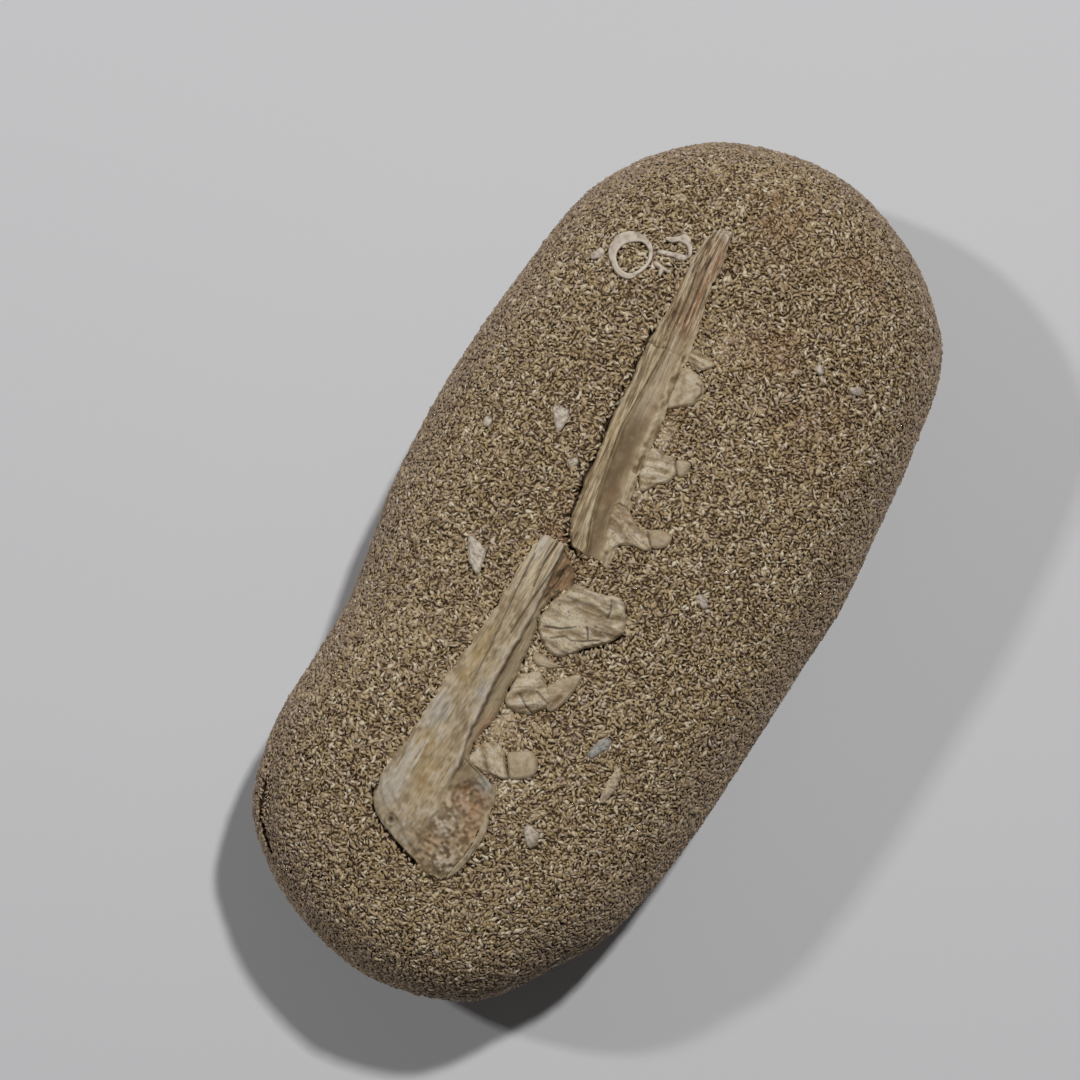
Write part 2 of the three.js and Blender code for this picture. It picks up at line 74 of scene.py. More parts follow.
MM = 0.001
BODY = "root"
TABLE = 64  # cells of a noise table along each of its sides
LINE_STEPS = 40  # places worked out between two points of a rounded line
HALVINGS = 24  # times that the search for the face's height halves its range
PROFILE_STEPS = 400  # places worked out along the cobble's side, and again along its top
FAR = 9.0  # farther than anything that a search near a place looks for
NEAR_SET = 1.5  # how far round an outline its pocket is looked for

# Heights of the cobble in millimetres, as all that follows: its thickness, its widest contour, the room left
# for lumps on top, and the lowest place of its cement
THICKNESS = 42
WAIST = 18
LUMP_ROOM = 0.5
CEMENT_FOOT = 0.12

# Half its width and the length of its contour, roughly, which set the number of steps on its skin
HALF_WIDTH = 36
CONTOUR_LENGTH = 370

# Its spine and its foot as shares of its reach, and the power of its dome: flatter where it is higher
SPINE_SHARE = 0.52
FOOT_SHARE = 0.5
DOME_POWER = 3.2

# How deep each piece goes into the face, under the lowest place of its top, how deep the cement lies under
# the pieces and the bone under the teeth, and how far a crust fills the cement up
BONE_FLOOR = 1.2
CHIP_FLOOR = 0.9
RING_FLOOR = 1
POCKET_DEPTH = 2.2
TOOTH_SEAT = 0.9
CRUST_LIFT = 0.26

# The sand: the step of the grid that it is laid on, how far a grain strays and how far apart rows lie as
# shares of its spacing, the depth at which a seam loses its grains, the number of meshes that hold them, and
# the corners of a grain
SAND_GRID = 0.5
STRAY = 0.36
ROW_SHARE = 0.92
OPEN_SEAM = 0.6
SAND_PIECES = 6
CORNERS = 6

# Where the camera looks, as a place of the drawing, and in metres the distance and the size of the soft
# lights and half the floor's width
AIM = (-11.1, -0.3, 20)
LIGHT_DISTANCE = 1.2
LIGHT_SIZE = 0.07
FLOOR_HALF = 3.0

# The stone's widest contour, from its right side round by the front end
CONTOUR = [
    (36.8, 15), (35.6, 30), (34.6, 42), (33.3, 51), (30.6, 59), (25.3, 65.4), (17.6, 71.1),
    (5.6, 75.5), (-5.6, 75.6), (-17.4, 72), (-25.4, 65.8), (-31.2, 58), (-34.2, 50), (-35.6, 40),
    (-37, 26), (-37.5, 12), (-36.7, -3), (-35, -13), (-33.1, -24), (-33.2, -36), (-33.4, -46),
    (-31.3, -55), (-27.6, -62.6), (-20.6, -68.8), (-11.2, -72.9), (0.3, -74.7), (12.5, -71.9),
    (19.2, -67.5), (25.1, -58.9), (30, -50.8), (32.6, -41), (34.4, -28), (35.6, -8), (36.2, 4),
]

# Bone edges: left x and y, then right x and y, from the front end to the rear
FRONT_BONE = [
    (-10.4, 54.6, -8.1, 54.8), (-11.2, 52.4, -7.6, 52.2), (-11.5, 49.7, -7, 49.4), (-11.4, 45.5, -6.6, 45),
    (-11.1, 41.2, -5.7, 41.2), (-10.9, 38.2, -5, 38.2), (-11.1, 35.4, -4.4, 35.3),
    (-11, 31.8, -4.1, 31.4), (-10.5, 28, -3.8, 27.6), (-10.2, 23.4, -2.8, 23.6), (-9.9, 19.3, -2.2, 19),
    (-9.2, 14.8, -1.8, 14.6), (-8.8, 10.6, -1.2, 11.4), (-8.2, 6, -0.1, 8.4), (-7.6, 2.8, 0.7, 4.4),
    (-6.6, 1.1, 1.1, 1.6), (-5.6, -0.5, 1.3, -0.5),
]
REAR_BONE = [
    (-10, -0.9, -6, -1.4), (-10.3, -3.4, -3, -3.8), (-10.6, -6.2, -2.2, -6.2), (-10.7, -9, -3.6, -9),
    (-10.7, -11.8, -4.3, -11.8), (-10.8, -15.2, -3.4, -15.2), (-11.1, -20.2, -2.7, -20),
    (-11.6, -25.2, -2.5, -25), (-11.8, -29.5, -2.2, -29.4), (-12, -33.2, -3, -33.2),
    (-12.1, -36.6, -2.5, -36.6), (-12.2, -38.4, 1.6, -38.1), (-12.4, -40.4, 4, -39.7),
    (-12.9, -43, 4.5, -42.4), (-12.8, -46.4, 4.4, -46), (-12.4, -49.3, 4.2, -49.2),
    (-9.8, -51.6, 3.9, -51.6), (-5, -53.4, 3.5, -53.6), (-0.8, -54.5, 2.8, -54.7),
]

# Each tooth: outlines of its root and its crown, how far it rises, the way its ribs run in degrees from +X,
# whether its root is as smooth as a crown, and its cracks, brown bands, raised lobes and rusty spot
TEETH = {
    "tooth_1": {
        "root": [(-4.4, 35.5), (-1.6, 35.4), (-0.3, 34.7), (-1.1, 33.5), (-2.6, 32.8), (-4.3, 33.6)],
        "rise": 0.45,
    },
    "tooth_2": {
        "root": [
            (-4, 32.2), (-2.3, 32.5), (-0.7, 31.7), (0.6, 30.5), (0.5, 28.9), (-0.3, 27.4),
            (-1.9, 26.1), (-3.1, 25.4), (-3.9, 27), (-4.1, 29.6),
        ],
        "rise": 0.8,
        "turn": 60,
        "smooth": True,
        "cracks": [[(-1.1, 30.9), (-0.2, 30.9), (0.3, 29.9), (0.1, 29)]],
    },
    "tooth_3": {
        "root": [
            (-2.2, 18.9), (-0.3, 18.8), (1.8, 19.2), (3.2, 17.3), (2.6, 15.3), (1.5, 14), (-0.2, 12.2),
            (-1.7, 13.8), (-2, 16),
        ],
        "crown": [(2.1, 18.8), (2.7, 19.4), (4, 19.8), (4.5, 19.1), (4.3, 17.3), (3.3, 17)],
        "rise": 0.7,
        "turn": 20,
        "cracks": [[(2, 18.8), (2.6, 17.9), (3.4, 17)]],
    },
    "tooth_4": {
        "root": [
            (-2.9, 7.8), (-2.3, 8.9), (-0.9, 8.8), (0.9, 7.8), (2.7, 6.9), (3.9, 7.5), (4.9, 6), (5.7, 5),
            (4.9, 4.3), (2.8, 4), (1.3, 3.4), (0, 2), (-1.8, 3.6), (-2.4, 5.8),
        ],
        "crown": [(3.9, 7.2), (5.1, 8.3), (6.8, 8.5), (7.6, 7.9), (7.4, 6.5), (6, 5.4), (4.9, 5.7)],
        "rise": 0.7,
        "turn": -15,
        "cracks": [[(3.7, 7.2), (4.4, 6.4), (5.1, 5.6)]],
        "rust": (-1.2, 7.2, 2),
    },
    "tooth_5": {
        "root": [
            (-2.5, -7.4), (-1.8, -5.5), (0.6, -5.1), (3.1, -4.5), (5.1, -3.8), (6.7, -4.6), (7.6, -6.3),
            (8.3, -7.8), (8.2, -8.9), (6.8, -11.1), (4.5, -13.4), (3.1, -15.2), (1.5, -16.5),
            (-0.8, -16.4), (-2.6, -15.2), (-3.9, -13.4), (-3.8, -11.2), (-3.4, -9.2),
        ],
        "rise": 0.95,
        "turn": 8,
        "cracks": [
            [(3, -10.4), (3.6, -11), (4.2, -12.1)], [(4.3, -4.9), (5, -6.5), (5.1, -7.6)],
            [(-2.7, -13.6), (-0.4, -12.7), (1.6, -11.2)],
            [(-0.9, -14.6), (0.8, -13.3), (2, -13.4), (3.6, -12.6), (5.7, -11.2)],
        ],
        "bands": [
            [(-3.1, -9.4), (-1.2, -8.5), (0.8, -7.7), (3.1, -7.4), (4.8, -7.6)],
            [(0.2, -8.7), (2.5, -8.6), (4.9, -7.8), (7.2, -6.7)],
        ],
        "lobes": [
            [(-1, -6.6), (1, -6), (3, -5.6), (5.4, -5.2), (7, -6)],
            [(-2.4, -10.9), (0.4, -10), (3, -9.8), (7.4, -8.6)],
            [(-2.6, -12.4), (0, -11.6), (3.6, -11.6)], [(-1.6, -15.4), (1, -15), (3, -13.9)],
        ],
    },
    "tooth_6": {
        "root": [
            (-2.5, -22.3), (-1.4, -21), (0, -19.9), (1.3, -20.4), (3.1, -21.8), (4.1, -23), (3.8, -24.4),
            (1.8, -26.5), (-0.2, -27.1), (-2.1, -26.5), (-2.5, -24.4),
        ],
        "crown": [
            (2.3, -21.4), (3.4, -19.5), (4.7, -17.9), (5.9, -17.1), (6.3, -18.4), (6.1, -21),
            (5.2, -23.8), (4.2, -24.4), (3.2, -23.4),
        ],
        "rise": 0.8,
        "turn": 35,
        "cracks": [[(-0.7, -24.4), (1.1, -25.6), (3, -26.1)], [(1.4, -22.8), (2.8, -23.2), (3.9, -23.5)]],
        "bands": [[(4.9, -21.8), (4.6, -22.8), (4.4, -23.8)]],
        "lobes": [[(-1.6, -24), (0.2, -22.6), (1.8, -21.6)], [(-0.6, -26.2), (1, -25), (2.6, -24.2)]],
        "rust": (5, -22.6, 1.2),
    },
    "tooth_7": {
        "root": [
            (-2.4, -37.2), (-2.3, -34.9), (-1.3, -33.1), (-0.3, -32.4), (1.3, -32.9), (2.9, -34.6),
            (4.2, -36.4), (1.6, -37.3),
        ],
        "crown": [
            (2.2, -33.1), (3.2, -32.2), (5.2, -31), (5.9, -31.2), (6.8, -31.8), (7.4, -33.2),
            (7.1, -34.5), (5.4, -35.9), (4.3, -36.2), (3.2, -34.8),
        ],
        "rise": 0.8,
        "turn": -45,
        "cracks": [[(1.7, -33), (2.8, -34.6), (4.2, -36.2)]],
    },
}
SCRAP_6 = [(-2, -18.4), (-1, -17.4), (0.6, -17.6), (2.3, -17.6), (1.6, -18.6), (-0.6, -19.3)]
WALL_8 = [
    (4.3, -42.8), (5.3, -44.4), (5.4, -47.1), (5.2, -50), (4.6, -52.8), (3.7, -54.4), (3.5, -53.4),
    (4.1, -51), (4.4, -48), (4.4, -45.4),
]

# The cut shell tube: edges of its wall, which is thick at the upper left
RING_CENTRE = (-20.6, 44)
RING_OUTER = [
    (-23.6, 42.7), (-24.1, 44.4), (-23.8, 46.2), (-22.3, 47.6), (-20, 47.8), (-18.2, 46.9), (-17.2, 45.4),
    (-17, 43.5), (-17.6, 41.7), (-18.5, 40.3), (-20.5, 40.2), (-22.3, 41.3),
]
RING_INNER = [
    (-22.2, 42.8), (-22.4, 43.9), (-22, 45.1), (-21, 46), (-19.7, 46.6), (-18.5, 46.1), (-17.7, 44.9),
    (-17.6, 43.5), (-18.2, 42), (-19.2, 41.1), (-20.6, 41.3), (-21.6, 42),
]

# Bands of shell: left x and y, then right x and y, along each
SHELL_SCOOP = [
    (-17, 49.2, -16.7, 48.6), (-15.7, 49.8, -15.6, 48.6), (-14.5, 51, -14.6, 49.3),
    (-13.2, 50.4, -13.7, 49.4), (-12.2, 49.3, -12.8, 48.9), (-11.9, 48.1, -12.4, 48.1),
    (-12.8, 46.9, -13.4, 47.7), (-14.4, 46.5, -14.8, 47.5), (-16, 46.2, -16.1, 47),
    (-17, 46.1, -16.9, 46.7),
]
SHELL_SPLINTER = [
    [(-16.6, 44.2, -16.3, 45.1), (-15.2, 43.9, -14.9, 44.8), (-13.5, 44.1, -13.4, 44.7)],
    [(-15.4, 44.3, -14.4, 44.3), (-14.9, 42.9, -14.3, 42.9)],
]

# Loose chips in the face: outline and how far the chip stands proud
CHIPS = {
    "shell_chip_1": ([(-18.7, 16.9), (-16.8, 17.7), (-15.9, 16.7), (-15.8, 14), (-17.1, 14.5)], 0.4),
    "shell_chip_2": (
        [(-19.9, -7.3), (-18.6, -6.9), (-16.3, -8.2), (-15.8, -10), (-15.6, -11.7), (-17.8, -10.6)], 0.5,
    ),
    "shell_chip_3": ([(10, -41.5), (11.2, -40.9), (12.6, -41.4), (12.6, -43.8), (11.1, -43.3)], 0.4),
    "bone_splinter": (
        [
            (18.3, -26.3), (19.1, -28.4), (19.1, -30.6), (18.7, -32.4), (17.9, -32.2), (17.6, -29.8),
            (17.7, -27.4),
        ],
        0.35,
    ),
    "bone_scrap": ([(13.3, -24.6), (14.5, -23.2), (15.2, -24.4), (13.8, -27.2), (12.7, -27.2)], 0.3),
}

# Small shell flecks: middle, half length and half width, and the way each points in degrees
FLECKS = [
    ((-25.1, 42), (1.2, 0.8), 60), ((20.9, 43), (1.1, 0.7), 20), ((14.3, 42.7), (0.9, 0.6), 120),
    ((16.4, 2.1), (1.3, 0.7), 150), ((-11.6, 10.8), (0.9, 0.6), 40), ((-26.7, 10.2), (0.9, 0.7), 80),
]
FLECK_RISE = 0.3

# Open seams in the rock: a line, its width and how deep it is
SEAMS = {
    "left of the front bone": (
        [
            (-11.3, 35), (-11.3, 31.8), (-10.85, 28), (-10.5, 23.4), (-10.15, 19.3), (-9.45, 14.8),
            (-9.05, 10.6), (-8.45, 6), (-7.85, 2.8), (-7.3, 1),
        ], 0.22, 1.1,
    ),
    "hollow at the break": ([(-7.3, 1), (-6.3, -0.5), (-4.6, -0.9), (-3, -1.5), (-1.5, -1.3)], 0.28, 1.2),
    "below the fifth tooth": ([(4.5, -13.7), (6.9, -11.4), (7.9, -9.9), (8.6, -8.6)], 0.2, 1.2),
    "ledge at the rear left": (
        [(-29.3, -56), (-28.3, -59.2), (-27.1, -61.6), (-25.8, -62.5), (-22.8, -65.4)], 0.3, 1.6,
    ),
    "below the rear end": (
        [(-12.9, -48.4), (-12.3, -50.2), (-8.3, -52.6), (-5.2, -53.7), (-1.5, -54.9)], 0.2, 1.2,
    ),
}

# Where rusty water has stained the sand: middle and reach
RUST_STAINS = [
    ((-2, 61), 6), ((14, 60), 5), ((-5, 26), 4), ((-7, 0), 5), ((20, 33), 6), ((6, 41), 5),
    ((-0.9, 21), 1.7), ((-0.2, 11), 1.5), ((-3.2, -1.8), 1.6), ((-1.6, -29), 1.6), ((0.4, -31), 1.5),
    ((3, -26.5), 2),
]

# Where lime and bone dust crust the sand between the teeth and the bone: middle and reach
CRUSTS = [
    ((-1.6, 22.3), 1.4), ((-1.2, 20.2), 1.2), ((-1.4, 15), 1.4), ((-0.5, 11.8), 1.5), ((-1.4, -18.2), 1.7),
    ((-2.2, -20.8), 1.2), ((3.4, -19.4), 1.2), ((-1, -28.4), 1.9), ((-1.2, -31), 1.5), ((4.2, -38.2), 1.2),
]


def from_hex(code):
    """Linear red, green, blue and alpha of an sRGB hex colour."""
    parts = [int(code[i:i + 2], 16) / 255 for i in (1, 3, 5)]
    return (*(c / 12.92 if c <= 0.04045 else ((c + 0.055) / 1.055) ** 2.4 for c in parts), 1.0)


def mix(a, b, t):
    return a + (b - a) * t


def bump(x, middle, width):
    return np.exp(-(((x - middle) / width) ** 2))


def unit(x):
    return np.clip(x, 0, 1)


def greatest(*terms):
    """The greatest of several values at each place."""
    return reduce(np.maximum, terms)


def smooth(x, low, high):
    t = unit((x - low) / (high - low))
    return t * t * (3 - 2 * t)


def patches(seed, *axes):
    """Smooth random patches from -1 to 1. Each axis is given as the places along it and a patch's length."""
    table = np.random.default_rng(seed).uniform(-1, 1, (TABLE,) * len(axes))
    cells = [np.floor(places / length).astype(int) for places, length in axes]
    fades = [smooth(places / length - cell, 0, 1) for (places, length), cell in zip(axes, cells)]
    total = 0
    for corner in np.ndindex(*(2,) * len(axes)):
        weight = 1
        for side, fade in zip(corner, fades):
            weight = weight * (fade if side else 1 - fade)
        total = total + weight * table[tuple((cell + side) % TABLE for side, cell in zip(corner, cells))]
    return total


def shards(seed, x, y, size_x, size_y):
    """Broken facets: the height of each random cell's tilted plane, and how far its edge is."""
    random = np.random.default_rng(seed)
    seeds = random.uniform(0.1, 0.9, (TABLE, TABLE, 2))
    tilts = random.uniform(-1, 1, (TABLE, TABLE, 3))
    u, v = x / size_x, y / size_y
    column, row = np.floor(u).astype(int), np.floor(v).astype(int)
    height = np.zeros(np.shape(x))
    nearest, second = np.full(np.shape(x), FAR), np.full(np.shape(x), FAR)
    for i, j in np.ndindex(3, 3):
        cell = (column + i - 1) % TABLE, (row + j - 1) % TABLE
        away_u, away_v = u - (column + i - 1 + seeds[cell][..., 0]), v - (row + j - 1 + seeds[cell][..., 1])
        distance = np.hypot(away_u, away_v)
        plane = tilts[cell][..., 0] * away_u + tilts[cell][..., 1] * away_v + 0.6 * tilts[cell][..., 2]
        closer = distance < nearest
        second = np.where(closer, nearest, np.minimum(second, distance))
        height = np.where(closer, plane, height)
        nearest = np.where(closer, distance, nearest)
    return height, second - nearest


def turned(x, y, degrees):
    """Places measured along and across a direction, in degrees from +X."""
    turn = math.radians(degrees)
    return x * math.cos(turn) + y * math.sin(turn), y * math.cos(turn) - x * math.sin(turn)


def rounded(points, count, closed=True):
    """A line through the points, redrawn as so many even steps round its corners."""
    points = np.array(points, float)
    if closed:
        before, after, beyond = (np.roll(points, -turn, 0) for turn in (-1, 1, 2))
        here = points
    else:
        padded = np.concatenate([points[:1], points, points[-1:]])
        before, here, after, beyond = padded[:-3], padded[1:-2], padded[2:-1], padded[3:]
    t = np.linspace(0, 1, LINE_STEPS, endpoint=False)[None, :, None]
    start, end = (0.5 * (q - p)[:, None] for p, q in ((before, after), (here, beyond)))
    line = (2 * t**3 - 3 * t**2 + 1) * here[:, None] + (t**3 - 2 * t**2 + t) * start
    line = line + (3 * t**2 - 2 * t**3) * after[:, None] + (t**3 - t**2) * end
    line = np.concatenate([line.reshape(-1, points.shape[1]), points[:1] if closed else points[-1:]])
    run = np.concatenate([[0], np.cumsum(np.linalg.norm(np.diff(line, axis=0), axis=1))])
    even = np.linspace(0, run[-1], count, endpoint=not closed)
    return np.stack([np.interp(even, run, line[:, axis]) for axis in range(points.shape[1])], 1)


def line_distance(x, y, line, closed=False):
    """Distance in the drawing's plane from each place to a line."""
    line = np.array(line, float)
    ends = np.roll(line, -1, 0) if closed else line[1:]
    nearest = np.full(np.shape(x), np.inf)
    for (ax, ay), (bx, by) in zip(line, ends):
        way_x, way_y = bx - ax, by - ay
        share = unit(((x - ax) * way_x + (y - ay) * way_y) / (way_x**2 + way_y**2))
        nearest = np.minimum(nearest, np.hypot(x - ax - share * way_x, y - ay - share * way_y))
    return nearest


def depth_inside(x, y, outline):
    """Distance from each place to an outline, above 0 inside it and below 0 outside."""
    within = np.zeros(np.shape(x), bool)
    for (ax, ay), (bx, by) in zip(outline, np.roll(outline, -1, 0)):
        if ay != by:
            spans = (ay > y) != (by > y)
            within ^= spans & (x < (bx - ax) * (y - ay) / (by - ay) + ax)
    away = line_distance(x, y, outline, closed=True)
    return np.where(within, away, -away)


BEARINGS = rounded(CONTOUR, 720)
BEARINGS = BEARINGS[np.argsort(np.arctan2(BEARINGS[:, 1], BEARINGS[:, 0]))]


def contour_reach(x, y):
    """Distance from the middle to the widest contour, in the direction of a place."""
    angles = np.arctan2(BEARINGS[:, 1], BEARINGS[:, 0])
    return np.interp(np.arctan2(y, x), angles, np.hypot(*BEARINGS.T), period=2 * math.pi)


def dome_height(share):
    rise = np.sqrt(np.maximum(0, 1 - share**DOME_POWER))
    return mix(WAIST, THICKNESS - LUMP_ROOM, rise)


def top_wear(x, y, height):
    """Broad lumps of the top, and its slope down at the rear left."""
    upper = unit((height - WAIST) / (THICKNESS - WAIST))
    lumps = 0.3 * np.sin(x / 8.5 + 1.1) * np.cos(y / 13 + 0.3) + 0.2 * np.sin(x / 4.7 - y / 6.1)
    return upper * (lumps - 2.6 * bump(x, -20, 17) * bump(y, -64, 19))


def face_height(x, y):
    """Height of the stone's face over a place of its top."""
    low, high = np.full(np.shape(x), 0.01), np.ones(np.shape(x))
    for _ in range(HALVINGS):
        share = (low + high) / 2
        full_x, full_y = x / share, y / mix(SPINE_SHARE, 1, share)
        beyond = np.hypot(full_x, full_y) > contour_reach(full_x, full_y)
        low, high = np.where(beyond, share, low), np.where(beyond, high, share)
    dome = dome_height(high)
    return dome + top_wear(x, y, dome)


def side_wear(x, y, height):
    """How far the sides stand out: a flaked ledge low on the left, a dent on the right, lumps below."""
    lip = 0.9 * (1 - smooth(height, 25, 27.5)) * smooth(height, 8, 16)
    ledge = bump(np.hypot(x + 29.5, y + 58), 0, 7) * (lip - 0.7 * bump(height, 28.5, 2.5))
    dent = -0.5 * bump(x, 33.5, 5) * bump(y, 46, 5) * bump(height, WAIST, 8)
    below = unit(1 - height / WAIST) * smooth(height, 0, 4)
    bearing = np.arctan2(y, x)
    lumps = 1.1 * np.sin(5 * bearing + 0.8) + 0.8 * np.sin(9 * bearing + height / 3)
    return ledge + dent + below * lumps


def skin(rings, wrapped=False, strips=False):
    """Faces over rings of places: open ends are capped, and a wrapped skin joins its two end rings."""
    count, around = rings.shape[:2]
    index = np.arange(count * around).reshape(count, around)
    here, after = (index, np.roll(index, -1, 0)) if wrapped else (index[:-1], index[1:])
    quads = np.stack([here, np.roll(here, -1, 1), np.roll(after, -1, 1), after], -1)
    faces = quads.reshape(-1, 4).tolist()
    if not wrapped and strips:
        for end in (index[0, ::-1], index[-1]):
            for i in range(around // 2 - 1):
                faces.append([int(end[i]), int(end[i + 1]), int(end[-i - 2]), int(end[-i - 1])])
    elif not wrapped:
        faces += [index[0, ::-1].tolist(), index[-1].tolist()]
    return rings.reshape(-1, 3), faces


# The stone is drawn about a point that lies off the middle of its box; the shell tube shows by how much
ring_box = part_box("shell_ring")
SHIFT = np.array([(ring_box[0][i] + ring_box[1][i]) / 2 / MM - RING_CENTRE[i] for i in (0, 1)] + [0])


def add_piece(name, shape, material, nodes=(), masks=None, unfolded=None):
    """An object of the fossil from places in drawing millimetres and faces, standing for its CAD nodes."""
    places, faces = shape
    low, high = (np.array(corner) for corner in cad_box)
    mesh = bpy.data.meshes.new(name)
    mesh.from_pydata(np.clip((places + SHIFT) * MM, low, high), [], faces)
    mesh.update()
    if unfolded is not None:
        mesh.uv_layers.new(name="OFBake").data.foreach_set("uv", np.ravel(unfolded))
    for mask, values in (masks or {}).items():
        layer = mesh.color_attributes.new(mask, "FLOAT_COLOR", "POINT")
        colours = np.ones((len(places), 4))
        for channel, value in enumerate(values):
            colours[:, channel] = unit(np.ravel(value))
        layer.data.foreach_set("color", colours.ravel())
    work = bmesh.new()
    work.from_mesh(mesh)
    bmesh.ops.recalc_face_normals(work, faces=work.faces)
    work.to_mesh(mesh)
    work.free()
    mesh.shade_smooth()
    mesh.materials.append(material)
    piece = bpy.data.objects.new(name, mesh)
    bpy.context.scene.collection.objects.link(piece)
    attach(piece, BODY)
    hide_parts(*nodes)
    return piece


def set_inputs(tree, node, inputs):
    """Gives each named input of a node a value or a link from a socket."""
    for key, value in inputs.items():
        if isinstance(value, bpy.types.NodeSocket):
            tree.links.new(value, node.inputs[key])
        else:
            node.inputs[key].default_value = value


def add_node(tree, kind, inputs, settings=None, stops=None):
    """Adds a node with its settings, its inputs and the stops of its colour ramp."""
    made = tree.nodes.new(kind)
    for key, value in (settings or {}).items():
        setattr(made, key, value)
    set_inputs(tree, made, inputs)
    if stops:
        ramp = made.color_ramp.elements
        while len(ramp) < len(stops):
            ramp.new(1)
        for element, (position, colour) in zip(ramp, stops):
            element.position = position
            element.color = colour
    return made


def new_material(name, *patterns):
    """A material with its tree, shader and object coordinates, and patterns of a size in mm and a detail."""
    material = bpy.data.materials.new(name)
    material.use_nodes = True
    tree = material.node_tree
    places = add_node(tree, "ShaderNodeTexCoord", {}).outputs["Object"]
    made = []
    for size_mm, detail in patterns:
        inputs = {"Vector": places, "Scale": 1 / (size_mm * MM), "Detail": detail}
        made.append(add_node(tree, "ShaderNodeTexNoise", inputs).outputs[0])
    return material, tree, tree.nodes["Principled BSDF"], places, *made


def layered(tree, base, layers):
    """A colour with others laid over it, each by its own mask socket."""
    for colour, mask in layers:
        over = add_node(tree, "ShaderNodeMix", {0: mask, 6: base, 7: colour}, {"data_type": "RGBA"})
        base = over.outputs[2]
    return base


def masks_of(tree, name):
    """The three masks that a colour attribute of the mesh holds."""
    layer = add_node(tree, "ShaderNodeAttribute", {}, {"attribute_name": name})
    return add_node(tree, "ShaderNodeSeparateColor", {0: layer.outputs["Color"]}).outputs


def sandstone_cement_material(colours):
    """Sandstone: the fine brown clay and lime between its grains, dull and dark in the gaps."""
    material, tree, shader, _, mottle, grit = new_material("sandstone_cement_clay_bound", (3, 4), (0.3, 3))
    stain = masks_of(tree, "stain")
    stops = [(0.35, colours.cement_dark), (0.65, colours.cement_light)]
    base = add_node(tree, "ShaderNodeValToRGB", {0: mottle}, None, stops).outputs[0]
    base = layered(tree, base, [(colours.rust, stain[0]), (colours.bone_tan, stain[1])])
    rough = add_node(tree, "ShaderNodeBump", {"Height": grit, "Distance": 0.15 * MM, "Strength": 0.8})
    set_inputs(tree, shader, {
        "Base Color": base, "Normal": rough.outputs[0], "Roughness": 0.95, "IOR": 1.5,
    })
    return material


def quartz_sand_material(colours):
    """Quartz and lithic sand, worn by water: each grain has its own tone and a faint waxy gloss; grains low
    on the sides get painted shade, darker and more mauve.
    """
    material, tree, shader, _, film = new_material("quartz_sand_water_worn", (0.9, 2))
    tone, stain = (masks_of(tree, mask) for mask in ("grain_tone", "stain"))
    base = add_node(tree, "ShaderNodeValToRGB", {0: tone[0]}, None, [
        (0, colours.grain_dark), (0.3, colours.grain_brown), (0.7, colours.grain_tan),
        (1, colours.grain_cream),
    ]).outputs[0]
    filmed = add_node(tree, "ShaderNodeMapRange", {0: film, 1: 0.45, 2: 0.7, 3: 0, 4: 0.5}).outputs[0]
    base = layered(tree, base, [
        (colours.grain_mauve, tone[1]), (colours.grain_brown, filmed), (colours.rust, stain[0]),
    ])
    set_inputs(tree, shader, {
        "Base Color": base, "Roughness": 0.6, "IOR": 1.54, "Specular IOR Level": 0.35,
    })
    return material


def fossil_bone_material(name, colours, turn):
    """Phosphatised bone, split along its fibres: silky tan, brown in the grooves, stained by iron."""
    material, tree, shader, places, mottle = new_material(name, (1.8, 6))
    relief, stain, tint = (masks_of(tree, mask) for mask in ("relief", "stain", "tint"))
    stops = [(0.35, colours.bone_brown), (0.6, colours.bone_tan)]
    base = add_node(tree, "ShaderNodeValToRGB", {0: mottle}, None, stops).outputs[0]

    # Fibres are a few hundredths of a millimetre across, too fine to show, so they are drawn far wider
    noises = []
    for across_mm, along_mm in ((0.26, 4.5), (0.17, 2.6)):
        fibre_places = add_node(tree, "ShaderNodeMapping", {
            "Vector": places, "Rotation": (0, 0, math.radians(turn)),
            "Scale": (across_mm * MM, along_mm * MM, across_mm * MM),
        }, {"vector_type": "TEXTURE"}).outputs[0]
        inputs = {"Vector": fibre_places, "Scale": 1, "Detail": 3}
        noises.append(add_node(tree, "ShaderNodeTexNoise", inputs).outputs[0])
    masks = []
    for noise, low, high, amount in (
        (noises[0], 0.52, 0.68, 0.75), (noises[0], 0.47, 0.33, 0.75), (noises[1], 0.43, 0.32, 0.8),
    ):
        mask = add_node(tree, "ShaderNodeMapRange", {0: noise, 1: low, 2: high, 3: 0, 4: amount})
        inputs = {0: mask.outputs[0], 1: stain[2]}
        masks.append(add_node(tree, "ShaderNodeMath", inputs, {"operation": "MULTIPLY"}).outputs[0])
    base = layered(tree, base, [
        (colours.bone_pale, relief[0]), (colours.bone_groove, relief[1]), (colours.rust, stain[0]),
        (colours.ochre, stain[1]), (colours.blue_grey, tint[0]), (colours.bone_white, tint[1]),
        (colours.bone_pale, masks[0]), (colours.bone_groove, masks[1]), (colours.crevice_dirt_and_painted_shade, masks[2]),
        # The third relief mask: dirt in cracks, and on the bones also painted shade and painted shadow
        (colours.crevice_dirt_and_painted_shade, relief[2]),
    ])
    inputs = {0: noises[0], 1: stain[2], 2: noises[1]}
    height = add_node(tree, "ShaderNodeMath", inputs, {"operation": "MULTIPLY_ADD"}).outputs[0]
    rough = add_node(tree, "ShaderNodeBump", {"Height": height, "Distance": 0.1 * MM, "Strength": 0.7})
    set_inputs(tree, shader, {
        "Base Color": base, "Normal": rough.outputs[0], "Roughness": 0.62, "IOR": 1.6,
        "Specular IOR Level": 0.3,
    })
    return material


